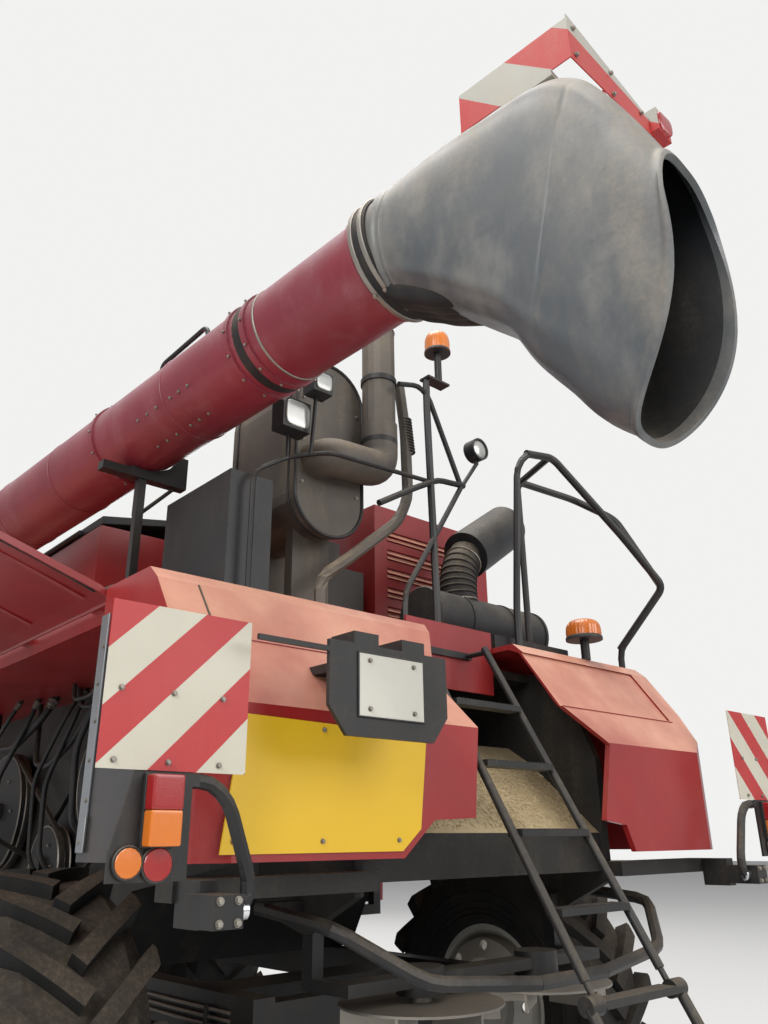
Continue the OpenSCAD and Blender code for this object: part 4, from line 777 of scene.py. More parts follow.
def spout_relief(angle):
    """Height of the moulded features over the plain skin, by section number t and angle.

    A flange and a lip are plateaus in t, four ridges are bumps at the corners, a sunk panel lies
    on each side, and slow waves sin(3a + t) sin(2t) leave no face quite flat.
    """
    t = np.linspace(0.0, len(SPOUT_ROWS) - 1.0, SPOUT_RINGS)[:, None]
    corner = np.abs((angle / (math.pi / 2)) % 1.0 - 0.5) * math.pi / 2
    side = np.abs((angle / math.pi + 0.5) % 1.0 - 0.5) * math.pi
    length = plateau(t, 4.2, 3.1)
    ridges = 0.007 * np.exp(-(corner / 0.10) ** 2) * length
    sunk = 0.008 * plateau(t, 4.5, 2.1) * plateau(side, 0.0, 0.50)
    step = 0.005 * plateau(t, 5.2, 0.09) * plateau(side, 0.0, 0.9)
    flange = 0.009 * plateau(t, 0.70, 0.10) + 0.004 * plateau(t, 1.02, 0.05)
    lip = 0.010 * plateau(t, 7.95, 0.10)
    waves = 0.0014 * np.sin(3.0 * angle + t) * np.sin(2.0 * t)
    return ridges - sunk - step + flange + lip + waves


def moulded_spout():
    """Spout shell: outer face with its relief, inner face one wall inside, joined at both rims."""
    face, out, angle = spout_skin()
    outer = face + out * spout_relief(angle)[..., None]
    inner = face - out * SPOUT_WALL
    return looped(np.concatenate([outer, inner[::-1]]))


def tube_ring(along, width, outer, inner):
    """Band round the tube at a place along it, in millimetres, with eased edges."""
    w, r0, r1 = width * MM, inner * MM, outer * MM
    ease = min(0.003, (r1 - r0) / 2)
    profile = ((0, r0), (0, r1 - ease), (ease, r1), (w - ease, r1), (w, r1 - ease), (w, r0))
    return turned(profile, TUBE_END + TUBE_WAY * along * MM, TUBE_WAY, 72, hoop=True)


def tube_patch(start, end, low, high):
    """Cover that follows the tube from one angle to another, its edges eased down onto it."""
    along = np.linspace(start * MM, end * MM, 28)[:, None]
    angle = np.radians(np.linspace(low, high, 22))[None, :]
    edge = np.minimum(plateau(along / MM, (start + end) / 2, (end - start) / 2.15),
                      plateau(np.degrees(angle), (low + high) / 2, (high - low) / 2.15))
    spoke = np.cos(angle)[..., None] * SPOUT_LEFT + np.sin(angle)[..., None] * TUBE_UP
    middle = TUBE_END + along[..., None] * TUBE_WAY
    return thick(middle + spoke * (TUBE_RADIUS - 0.001 + PATCH_RISE * edge)[..., None], -0.008 * spoke)


def tube_spot(along, degrees, lift):
    """Place so far above the tube's skin, and the way out of it there."""
    angle = math.radians(degrees)
    spoke = math.cos(angle) * SPOUT_LEFT + math.sin(angle) * TUBE_UP
    return TUBE_END + TUBE_WAY * along * MM + spoke * (TUBE_RADIUS + lift), spoke


def dress_spout():
    """Moulded spout with its lining, collar, bands, boot and bolts, the board's bolts and a marker lens."""
    spout = add_piece("spout_shell", moulded_spout(), grey_plastic, "unloader")
    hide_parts("spout")
    face, out, _ = spout_skin()
    face, out = face[4:-4], out[4:-4]
    front, back = face - out * (SPOUT_WALL + 0.0004), face - out * (SPOUT_WALL + 0.0022)
    lining = looped(np.concatenate([front, back[::-1]]))
    add_piece("spout_lining", lining, black_plastic, "unloader")
    add_piece("spout_collar", tube_ring(-24, 84, 236, 211.5), black_rubber, "unloader")
    bands = [tube_ring(along, 20, 243, 230) for along in (-16, 34)]
    add_piece("spout_bands", joined(bands), worn_steel, "unloader")
    boot = []
    for right in (-75, -25, 25, 75):
        path = [spout_place(behind, right, up) for behind, up in BOOT_PATH]
        boot.append(swept(spline(path, 30), 0.046, 20))
    add_piece("spout_boot", joined(boot), black_rubber, "unloader")
    lugs = []
    for along in (-14, 36):
        for degrees in (-62, 118):
            place, way = tube_spot(along + 9, degrees, 0.033)
            lugs.append(bolts([place], way, 0.011))
    add_piece("spout_clamp_bolts", joined(lugs), worn_steel, "unloader")
    places = [spout_place(838, right, up) for right, up in BOARD_BOLTS]
    add_piece("board_bolts", bolts(places, SPOUT_BACK, 0.009), worn_steel, "unloader")
    lens = pillow(spout_place(862, 532, 438), (0.016, 0.047, 0.047), (7.0, 3.0))
    add_piece("marker_lens", lens, red_lens, "unloader")


def dress_tube():
    """Seal, band, seams, doors, handle and bolts on the unloading tube."""
    add_piece("tube_seals", tube_ring(728, 56, 214.5, 209), black_rubber, "unloader")
    add_piece("tube_band", tube_ring(640, 12, 215, 209), worn_steel, "unloader")
    seams = [tube_ring(along, 9, 213.5, 209) for along in (1330, 2420, 3050, 4200, 4700)]
    add_piece("tube_seams", joined(seams), tube_paint_and_sheen, "unloader")
    doors = [tube_patch(1120, 1290, -75, -25), tube_patch(1370, 1560, -75, -25),
             tube_patch(2900, 3020, 100, 140)]
    add_piece("tube_doors", joined(doors), tube_paint_and_sheen, "unloader")
    path = [TUBE_END / MM + TUBE_WAY * along + (0.0, 0.0, up) for along, up in
            ((1700, 190), (1690, 360), (1300, 390), (1250, 190))]
    add_piece("tube_handle", swept(eased(path, 40), 0.0125, 16), dark_steel, "unloader")
    heads = []
    for start, end in ((1120, 1290), (1370, 1560)):
        for along in (start + 16, (start + end) / 2, end - 16):
            for degrees in (-71, -29):
                place, way = tube_spot(along, degrees, 0.002)
                heads.append(bolts([place], way, 0.008))
    for along in (700, 812, 1940, 3600):
        for degrees in range(-90, 270, 30):
            place, way = tube_spot(along + 14, degrees, 0.013)
            heads.append(bolts([place], way, 0.007))
    add_piece("tube_bolts", joined(heads), worn_steel, "unloader")


# Lamps, boards and plates.

LAMP_X = -5290
LAMP_Y = 1657
# Columns: x, y and foot, radius and height of a beacon's dome, then the foot and the profile of its collar.
BEACONS = (
    (-4605, -150, 4052.3, 68, 132, 4050, ((0, 0.060), (0, 0.073), (0.010, 0.073), (0.016, 0.069))),
    (-4760, -1040, 2550.6, 92, 112, 2548, ((0, 0.080), (0, 0.098), (0.014, 0.098), (0.020, 0.094))),
)
# Columns: share of the dome's height, share of its radius.
DOME = ((0, 0.98), (0.02, 1.0), (0.53, 1.0), (0.80, 0.87), (0.94, 0.60), (1.0, 0.05))


def dress_lamps():
    """Tail lamp lenses in their rims, ribbed beacon domes on collars, and work lamp glasses and fins."""
    red, amber, rims = [], [], []
    for side in (-1, 1):
        red.append(pillow(mm(LAMP_X - 36, side * LAMP_Y, 1672.5), mm(26, 43, 42), (16.0, 18.0)))
        amber.append(pillow(mm(LAMP_X - 36, side * LAMP_Y, 1588.0), mm(26, 43, 42), (16.0, 18.0)))
        for y, z, radius, group_of in ((1650, 1505, 38, red), (1728, 1510, 34, amber)):
            place = mm(LAMP_X - 10, side * y, z)
            dome = ((0, radius * MM), (0.010, radius * MM), (0.012, 0.95 * radius * MM), (0.0135, 0.002))
            group_of.append(turned(dome, place, REARWARD, 48, ribs=16, depth=0.012))
            rims.append(bead(place + mm(-6, 0, 0), REARWARD, (radius + 3) * MM, 0.004))
        corners = mm(LAMP_X - 24, side * LAMP_Y - 46, 1543), mm(LAMP_X - 10.3, side * LAMP_Y + 46, 1718)
        rims.append(boxes([corners]))
    lenses = add_piece("tail_lens_red", joined(red), red_lens, "machine")
    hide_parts("tail_lamps")
    add_piece("tail_lens_amber", joined(amber), amber_lens, "machine")
    add_piece("tail_lamp_rims", joined(rims), black_plastic, "machine", bevel=0.003)
    domes, collars = [], []
    for x, y, z, radius, height, foot, collar in BEACONS:
        rows = [(rise * height * MM, share * radius * MM) for rise, share in DOME]
        domes.append(turned(spline(rows, 26), mm(x, y, z), UPWARD, 96, ribs=24, depth=0.014))
        collars.append(turned(collar, mm(x, y, foot), UPWARD))
    beacons = add_piece("beacon_domes", joined(domes), amber_lens, "machine", crease=60.0)
    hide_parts("beacons")
    add_piece("beacon_collars", joined(collars), black_plastic, "machine")
    dome = ((0, 0.053), (0.006, 0.053), (0.014, 0.040), (0.017, 0.003))
    glasses = [pillow(mm(-4482, 690, 3430), mm(9, 66, 66), (9.0, 4.0)),
               pillow(mm(-4592, 622, 3581), mm(9, 45, 44), (9.0, 4.0)),
               turned(dome, mm(-4624, -424, 3543), REARWARD)]
    add_piece("work_lamp_glasses", joined(glasses), lamp_glass, "machine")
    fins = [(mm(-4387, y, 3360), mm(-4374, y + 6, 3500)) for y in range(624, 757, 22)]
    add_piece("work_lamp_fins", boxes(fins), black_plastic, "machine", bevel=0.001)


# Columns: y and z of the screws on the left warning board, and on the sign.
BOARD_SCREWS = ((1789, 1922), (1641, 1921), (1493, 1920), (1791, 1746), (1643, 1746), (1494, 1745))
SIGN_SCREWS = ((1344, 1556), (1025, 1555), (706, 1556), (1344, 1886), (1025, 1887), (706, 1886))


def panel_x(z):
    """Where the rear panels' face is at height z, in millimetres."""
    return -5151 + (z - 1950) * 0.7273


def dress_boards():
    """Screws with washers on the warning boards, the number plate and the sign."""
    heads = [mm(LAMP_X - 15, side * y, z) for side in (-1, 1) for y, z in BOARD_SCREWS]
    heads += [mm(-5395, y, z) for y in (850, 1035) for z in (1925, 2072)]
    heads += [mm(-5157, y, z) for y, z in SIGN_SCREWS]
    add_piece("board_screws", bolts(heads, REARWARD, 0.008), worn_steel, "machine")


def dress_panels():
    """Edge strip, seam and ledges of the rear panels, and sleeves and bolts at the lamp arms' pivots."""
    strips = boxes([(mm(-4494, 1490.4, 1530), mm(-4438, 1498, 2330)),
                    (mm(-4440, 1478, 1530), mm(-4434, 1498, 2330)),
                    (mm(-4500, 1498, 1528), mm(-4446, 1502, 1640))])
    add_piece("left_panel_strip", strips, galvanised, "machine", bevel=0.002)
    heads = [mm(-4466 - 14 * (k % 2), 1498, 1560 + 130 * k) for k in range(6)]
    add_piece("panel_strip_bolts", bolts(heads, LEFTWARD, 0.008), worn_steel, "machine")
    seam = np.linspace(mm(panel_x(1958), 1335, 1958), mm(panel_x(2385), 1335, 2385), 8)
    add_piece("panel_seam", swept(seam, 0.004, 8), black_rubber, "machine")
    ledges = [swept(np.linspace(mm(panel_x(z), start, z), mm(panel_x(z), end, z), 8), 0.004, 8)
              for z, start, end in ((2186, 1400, 346), (2112, -430, -1348))]
    add_piece("panel_ledges", joined(ledges), panel_paint_with_shade, "machine")
    profile = ((0, 0.0226), (0.0, 0.0232), (0.034, 0.0232), (0.036, 0.020))
    sleeves, heads = [], []
    for side in (-1, 1):
        sleeves.append(turned(profile, mm(-5280, side * 1408, 1388), (0, -side, 0)))
        heads += [mm(-5331, side * y, z) for y in (1428, 1482) for z in (1364, 1416)]
    add_piece("pivot_sleeves", joined(sleeves), chrome_rod, "machine")
    add_piece("pivot_bolts", bolts(heads, REARWARD, 0.011), worn_steel, "machine")


def dress_plate():
    """Rim round the number plate."""
    y0, y1, z0, z1, bar = 808, 1077, 1903, 2092, 5
    rows = [(y0 - bar, z0 - bar, y1 + bar, z0), (y0 - bar, z1, y1 + bar, z1 + bar),
            (y0 - bar, z0, y0, z1), (y1, z0, y1 + bar, z1)]
    edge = boxes([(mm(-5396, low_y, low_z), mm(-5389, high_y, high_z))
                  for low_y, low_z, high_y, high_z in rows])
    add_piece("plate_edge", edge, black_plastic, "machine", bevel=0.0015)


# Deck, cooler and exhaust.

def dress_cooler():
    """Louvre blades behind the cooler and the round screen on its right side."""
    blades = []
    along = np.linspace(-1328, -522, 12)[:, None]
    back, rise = np.array((-3748, -3764)), np.array((27, 2))
    for base in range(2554, 3275, 120):
        for z in (base, base + 31):
            sheet = MM * np.stack(np.broadcast_arrays(back, along, z + rise), axis=-1)
            blades.append(thick(sheet, mm(-1.5, 0, 2)))
    add_piece("louvre_blades", joined(blades), red_paint, "machine")
    centre = mm(-3230, -1412, 2990)
    wires = [bead(centre, LEFTWARD, radius, 0.0028, 72, 6) for radius in np.arange(0.05, 0.42, 0.03)]
    wires.append(bead(centre, LEFTWARD, 0.424, 0.011, 96))
    for k in range(12):
        way = np.array((math.cos(k * math.pi / 12), 0.0, math.sin(k * math.pi / 12)))
        wires.append(swept([centre - 0.42 * way, centre, centre + 0.42 * way], 0.0035, 6))
    add_piece("cooler_screen", joined(wires), dark_steel, "machine")


# The heat shield's outline is a slot: half circles about a low and a high middle.
SHIELD_Y = 400
SHIELD_RADIUS = 208.5
SHIELD_LOW = 2917 + SHIELD_RADIUS
SHIELD_HIGH = 2917 + 944 - SHIELD_RADIUS
STACK = (-4450, 149)


def slot_loop(x, radius, low, high):
    """Slot outline at x: circle of a radius, its upper half about one height and its lower about another."""
    turn = np.radians(np.arange(0, 360, 9))
    middle = np.where(turn < math.pi, high, low)
    y, z = SHIELD_Y + radius * np.cos(turn), middle + radius * np.sin(turn)
    return MM * np.column_stack([np.full(len(turn), x), y, z])


def dress_exhaust():
    """Rim and bands of the heat shield, clamps and rolled end of the stack, and the smooth elbow."""
    bands = [swept(slot_loop(-4362, SHIELD_RADIUS, SHIELD_LOW, SHIELD_HIGH), 0.009, 8, hoop=True)]
    clamp = ((0, 0.088), (0, 0.096), (0.028, 0.096), (0.028, 0.088))
    bands += [turned(clamp, mm(*STACK, z), UPWARD, hoop=True) for z in (3440, 3800)]
    bands.append(bead(mm(*STACK, 4126), UPWARD, 0.086, 0.005))
    for x in (-3800, -4280):
        bands.append(swept(slot_loop(x, 192, SHIELD_LOW + 2, SHIELD_HIGH - 2), 0.007, 8, hoop=True))
    add_piece("exhaust_bands", joined(bands), dark_steel, "machine")
    bend = eased(((-4340, 480, 3290), (-4450, 480, 3290), (*STACK, 3310), (*STACK, 3560)), 95)
    add_piece("exhaust_bend", swept(bend, 0.0955, 40), hot_steel, "machine")


def dress_intake():
    """Smooth intake elbow with its ribs and clamps."""
    points = ((-4270, -600, 2740), (-4264, -598, 2860), (-4254, -630, 2985), (-4238, -712, 3098))
    path = spline([mm(*point) for point in points], 60)
    add_piece("intake_elbow", swept(path, 0.100, 40), black_rubber, "machine")
    ways = np.gradient(path, axis=0)
    rings = [bead(path[k], ways[k], 0.099, 0.008, 48) for k in (14, 19, 24, 29, 34, 39, 44)]
    add_piece("intake_ribs", joined(rings), black_rubber, "machine")
    rings = [bead(path[k], ways[k], 0.103, 0.005, 48, 6) for k in (8, 50)]
    add_piece("intake_clamps", joined(rings), worn_steel, "machine")


def dress_deck():
    """Smooth bends of two rails, bolts of the heat shield, ribs of a pipe and the air cleaner's ends."""
    outer = ((-4780, -640, 3530), (-4800, -851, 3560), (-4950, -1239, 3130), (-5040, -1440, 2860),
             (-4740, -1410, 2550))
    inner = ((-4500, -900, 3530), (-4600, -1300, 3490), (-4800, -1420, 3330), (-5020, -1440, 2880))
    sleeves = joined([swept(eased(rail, reach), 0.0212, 20) for rail, reach in ((outer, 50), (inner, 60))])
    add_piece("rail_sleeves", sleeves, dark_steel, "machine")
    heads = [mm(-4361, SHIELD_Y + 170 * side, z) for side in (-1, 1) for z in (3160, 3390, 3620)]
    add_piece("shield_bolts", bolts(heads, REARWARD, 0.010), worn_steel, "machine")
    ribs = [bead(mm(-4395, -91 - 2 * k, 3700 - 17 * k), (0, 0.03, 1), 0.031, 0.007, 24, 6) for k in range(12)]
    add_piece("flexible_pipe_ribs", joined(ribs), black_rubber, "machine")
    cap = ((0, 0.156), (0, 0.164), (0.020, 0.164), (0.026, 0.158), (0.030, 0.003))
    band = ((0, 0.158), (0, 0.163), (0.018, 0.163), (0.018, 0.158))
    ends = [turned(cap, mm(-4270, y, 2655), (0, way, 0)) for y, way in ((-312, 1), (-1148, -1))]
    ends += [turned(band, mm(-4270, y, 2655), LEFTWARD, hoop=True) for y in (-560, -900)]
    add_piece("air_cleaner_bands", joined(ends), black_plastic, "machine")


# Steel lines: each row is a radius and the corners it passes, in millimetres.

LINES = (
    (13, ((-4240, 770, 2346), (-4200, 800, 2210), (-3900, 800, 2160),
          (-3300, 790, 2130), (-2700, 785, 2140), (-2680, 745, 2140))),
    (13, ((-4180, 770, 2346), (-4150, 810, 2170), (-3900, 812, 2120),
          (-3300, 800, 2090), (-2750, 795, 2095), (-2730, 745, 2095))),
    (16, ((-4120, 775, 2346), (-4100, 830, 2130), (-3860, 835, 2070),
          (-3420, 820, 1560), (-3400, 745, 1540))),
    (10, ((-4060, 770, 2346), (-4040, 815, 2240), (-3700, 790, 1900),
          (-3640, 780, 1500), (-3640, 745, 1480))),
    (18, ((-4000, 900, 2346), (-3990, 905, 2200), (-4060, 900, 1950),
          (-4190, 880, 1760), (-4200, 748, 1740))),
    (14, ((-3560, 1000, 2346), (-3560, 1000, 2240), (-3300, 940, 2200),
          (-2950, 940, 2230), (-2900, 940, 2346))),
    (12, ((-3480, 1060, 2346), (-3480, 1060, 2270), (-3250, 1020, 2240),
          (-3020, 1010, 2250), (-2990, 1000, 2346))),
    (16, ((-3000, 880, 2346), (-2990, 900, 2200), (-2850, 930, 2050),
          (-2600, 940, 1950), (-2300, 900, 1990), (-2200, 880, 2346))),
    (13, ((-2900, 890, 2346), (-2890, 950, 2150), (-2700, 980, 1850),
          (-2690, 960, 1500), (-2700, 745, 1260))),
    (11, ((-2840, 890, 2346), (-2830, 970, 2180), (-2620, 1010, 1880),
          (-2620, 985, 1480), (-2640, 745, 1200))),
    (20, ((-2500, 900, 2346), (-2480, 960, 2220), (-2200, 1000, 2080),
          (-1800, 980, 2100), (-1600, 920, 2346))),
    (14, ((-2400, 960, 2346), (-2380, 1010, 2180), (-2120, 1040, 1900),
          (-2060, 1000, 1600), (-2050, 745, 1480))),
    (12, ((-2260, 1010, 2346), (-2240, 1060, 2240), (-1960, 1080, 2020),
          (-1500, 1040, 2060), (-1400, 1000, 2346))),
    (17, ((-3200, 905, 2346), (-3190, 960, 2230), (-3080, 990, 2010),
          (-3060, 960, 1640), (-3060, 745, 1520))),
    (17, ((-4240, 1150, 2426), (-4230, 1150, 2560), (-4130, 1210, 2620),
          (-3900, 1240, 2600), (-3780, 1240, 2426))),
    (15, ((-4180, 1220, 2426), (-4170, 1225, 2530), (-4050, 1290, 2575),
          (-3760, 1310, 2560), (-3640, 1310, 2426))),
    (15, ((-4240, 1290, 2426), (-4235, 1290, 2500), (-4080, 1350, 2540),
          (-3620, 1370, 2520), (-3500, 1370, 2426))),
    (12, ((-4120, 1090, 2426), (-4120, 1090, 2640), (-4000, 1100, 2700),
          (-3800, 1110, 2690), (-3720, 1110, 2426))),
    (12, ((-3600, 1180, 2426), (-3600, 1180, 2560), (-3420, 1200, 2600),
          (-3200, 1200, 2426))),
)


def dress_lines():
    """Bent steel lines in the left bay and over the deck's left edge, their nuts and a valve block."""
    lines, nuts = [], []
    for radius, points in LINES:
        lines.append(swept(eased(points, 70), radius * MM, 14))
        way = unit(mm(*points[1]) - mm(*points[0]))
        place = mm(*points[0]) + 0.030 * way
        nuts.append(bolts([place], way, radius * MM * 1.7))
        nuts.append(bolts([place + 0.022 * way], way, radius * MM * 1.45))
    add_piece("steel_lines", joined(lines), dark_steel, "machine")
    add_piece("line_nuts", joined(nuts), worn_steel, "machine")
    clamps = ((-3940, 2070), (-3260, 2065), (-2860, 2070))
    rows = [(mm(x, 748, z), mm(x + 26, 830, z + 130)) for x, z in clamps]
    rows.append((mm(-3760, 748, 1960), mm(-3560, 828, 2060)))
    rows += [(mm(x, 760, 2058), mm(x + 30, 816, 2084)) for x in range(-3745, -3600, 48)]
    add_piece("valve_block", boxes(rows), cast_engine, "machine", bevel=0.004)


# Wheels, drives and ladders.

# Columns: name, x, y and z of the left wheel's middle, radius, half width and rim radius in millimetres;
# then of the hub: its end in millimetres, the nuts' circle and their size in metres, and their count.
WHEELS = (
    ("front", 0, 1360, 935, 935, 390, 435, 1080, 0.112, 0.017, 10),
    ("rear", -3800, 1400, 735, 735, 270, 380, 1280, 0.070, 0.012, 8),
)
LUG_HEIGHT = 48


def tyre_ribs(middle, radius, half, rim):
    """Fine rings on both walls of a tyre, between its rim and its shoulder."""
    start, end = np.array((rim + 30, half * 0.84)), np.array(((radius - LUG_HEIGHT) * 0.82, half * 0.98))
    ribs = []
    for share in (0.12, 0.3, 0.55, 0.9):
        ring, out = start + (end - start) * share
        for face in (-1, 1):
            ribs.append(bead(middle + mm(0, face * out, 0), LEFTWARD, ring * MM, 0.006, 96, 6))
    return joined(ribs)


def hub_nuts(middle, side, ring, size, count):
    """Ring of nuts round a domed cap, facing out of the machine."""
    way = (0.0, side, 0.0)
    places = [middle + ring * np.array((math.cos(a), 0.0, math.sin(a)))
              for a in np.linspace(0, 2 * math.pi, count, endpoint=False)]
    cap = ((-0.002, ring * 0.62), (0.018, ring * 0.60), (0.030, ring * 0.45), (0.034, 0.003))
    return joined([bolts(places, way, size), turned(cap, middle, way)])


def dress_wheels():
    """Ribs on the tyres' walls, and nuts and caps on the hubs."""
    for label, x, y, z, radius, half, rim, end, ring, size, count in WHEELS:
        for side, letter in ((1, "l"), (-1, "r")):
            body = f"{label}_wheel_{letter}"
            ribs = tyre_ribs(mm(x, side * y, z), radius, half, rim)
            add_piece(f"{label}_tyre_ribs_{letter}", ribs, tyre_rubber, body)
            nuts = hub_nuts(mm(x, side * end, z), side, ring, size, count)
            add_piece(f"{label}_wheel_nuts_{letter}", nuts, worn_steel, body)


# Columns: x, z and radius, in millimetres.
PULLEYS = ((-700, 1500, 260), (-1700, 1750, 330), (-2500, 1450, 200), (-3100, 1850, 260))
BELT_WIDTH = 26
BELT_DEPTH = 14


def belt(a, b, y):
    """Belt round two pulleys: two arcs joined by the outer tangents.

    Each arc ends acos((ra - rb) / d) off the line of centres.
    """
    gap = np.array(b[:2], dtype=float) - np.array(a[:2], dtype=float)
    line = math.atan2(gap[1], gap[0])
    lean = math.acos((a[2] - b[2]) / np.hypot(*gap))
    turns = (np.linspace(line + lean, line + 2 * math.pi - lean, 40),
             np.linspace(line - lean, line + lean, 40))
    angle = np.concatenate(turns)[:, None]
    x, z, radius = np.repeat(np.array((a, b), dtype=float), 40, axis=0).T[..., None]
    across, rise = np.array(((-0.5, 0), (0.5, 0), (0.4, 1), (-0.4, 1))).T
    out = radius + 0.5 + rise * BELT_DEPTH
    ring = (x + out * np.cos(angle), y + across * BELT_WIDTH, z + out * np.sin(angle))
    return looped(MM * np.stack(np.broadcast_arrays(*ring), axis=-1))


def dress_drives():
    """Belts of the side drives, and rims and bolts of their pulleys."""
    belts = [belt(PULLEYS[k], PULLEYS[k + 1], y) for k, y in enumerate((808, 842, 808))]
    add_piece("drive_belts", joined(belts), black_rubber, "machine")
    rims = []
    for x, z, radius in PULLEYS:
        for y in (793, 825, 857):
            rims.append(bead(mm(x, y, z), LEFTWARD, (radius + 1) * MM, 0.006, 72, 6))
        ring = 0.6 * radius
        turn = np.radians(range(0, 360, 60))
        places = [mm(x + ring * math.cos(a), 861, z + ring * math.sin(a)) for a in turn]
        rims.append(bolts(places, LEFTWARD, 0.012))
    add_piece("pulley_rims", joined(rims), worn_steel, "machine")


LADDER_FOOT = 1068
RUNG_STEP = 254


def ladder_x(z):
    """Where the rear ladder is at height z, in millimetres."""
    return -4740 + (z - 2430) * 0.581


def dress_ladders():
    """Raised grips across the rungs and steps."""
    uppers = [LADDER_FOOT + RUNG_STEP * k for k in range(1, 5)]
    lowers = [LADDER_FOOT - RUNG_STEP * k for k in (1, 2)]
    for name, body, heights in (("upper", "machine", uppers), ("lower", "rear_ladder", lowers)):
        rows = [(mm(ladder_x(z) - 28, y - 4, z + 11.5), mm(ladder_x(z) + 38, y + 4, z + 15))
                for z in heights for y in range(-180, 181, 24)]
        add_piece(f"rung_grips_{name}", boxes(rows), dark_steel, body, bevel=0.001)
    rows = [(mm(x, 1506, 559 + k * 330), mm(x + 9, 1654, 563.5 + k * 330))
            for k in range(5) for x in range(1150, 1520, 26)]
    add_piece("cab_step_grips", boxes(rows), dark_steel, "cab_ladder", bevel=0.001)


# Columns: body, side, front and rear end and lower edge in millimetres, and whether it stands raised.
DOORS = (("door_lf", 1, -1020, -2590, 1180, True), ("door_lr", 1, -2600, -4420, 1560, True),
         ("door_rf", -1, -1020, -2590, 1180, False), ("door_rr", -1, -2600, -4420, 1560, False))
HINGE_Y = 1.460
HINGE_Z = 2.400
DOOR_LIFT = math.radians(105)


def raised(points):
    """Points of a left door turned up about its hinge, as it stands at rest."""
    cos, sin = math.cos(DOOR_LIFT), math.sin(DOOR_LIFT)
    y, z = points[:, 1] - HINGE_Y, points[:, 2] - HINGE_Z
    return np.column_stack([points[:, 0], HINGE_Y + cos * y - sin * z, HINGE_Z + sin * y + cos * z])


def down_door(x, side, across, low):
    """Smooth line down the inside of a side door through five places across."""
    heights = (2330, 2150, 1950, low + 330, low + 60)
    return spline([mm(x, side * y, z) for y, z in zip(across, heights)], 24)


def dress_doors():
    """Stiffeners inside the side doors, rubber along their lower edges and ends, and rivets outside."""
    for body, side, front, rear, low, up in DOORS:
        ribs, heads = [], []
        for x in np.linspace(rear + 110, front - 110, 4):
            ribs.append(swept(down_door(x, side, (1462, 1478, 1489, 1480, 1470), low), 0.011, 8))
            heads += [mm(x, side * (1515 - abs(z - 1950) * 0.051), z) for z in (2200, 1950)]
        edge = np.linspace(mm(rear + 25, side * 1448, low - 3), mm(front - 25, side * 1448, low - 3), 12)
        rubber = [swept(edge, 0.010, 8)]
        for x in (rear + 14, front - 14):
            rubber.append(swept(down_door(x, side, (1470, 1484, 1494, 1486, 1478), low), 0.008, 8))
        shapes = {"stiffeners": (joined(ribs), red_paint, "red_paint"),
                  "seals": (joined(rubber), black_rubber, "black_plastic"),
                  "rivets": (bolts(heads, (0, side, 0), 0.010), worn_steel, "worn_steel")}
        for label, ((points, faces), material, slot) in shapes.items():
            shape = (raised(points) if up else points, faces)
            add_piece(f"{body}_{label}", shape, material, body)


# Cab.

# Corners of the rubbers round the rear pane, the right pane and the left rear pane.
PANES = (
    ((-184, -838, 2812), (-184, 838, 2812), (-184, 838, 3528), (-184, -838, 3528)),
    ((360, -983, 2242), (360, -983, 3518), (1238, -983, 3518), (1332, -983, 2810), (1278, -983, 2242)),
    ((-58, 983, 2672), (-58, 983, 3518), (228, 983, 3518), (228, 983, 2672)),
)


def pane_outline(corners):
    """Closed outline that goes from r before each corner b to r behind it, as b + r ((1-t)^2 u + t^2 v).

    u and v are the ways to the corner before and to the next, and r is 30 mm.
    """
    corners = mm(*corners)
    t = np.array((0.0, 0.5, 1.0))[:, None]
    path = []
    for before, corner, after in zip(np.roll(corners, 1, axis=0), corners, np.roll(corners, -1, axis=0)):
        path.append(corner + 0.03 * ((1 - t) ** 2 * unit(before - corner) + t ** 2 * unit(after - corner)))
    return np.concatenate(path)


def dress_seat():
    """Padded cushion, back and armrest."""
    shapes = {
        "seat_cushion": pillow((0.505, 0.0, 2.502), (0.300, 0.300, 0.100), (8.0, 5.0), rows=40, cols=96),
        "seat_back": pillow((0.258, 0.0, 2.885), (0.095, 0.285, 0.375), (6.0, 7.0), -0.18, rows=48, cols=96),
        "seat_armrest": pillow((0.560, -0.360, 2.630), (0.290, 0.075, 0.052), (8.0, 5.0), rows=24, cols=72),
    }
    for name, shape in shapes.items():
        piece = add_piece(name, shape, seat_cloth, "machine")


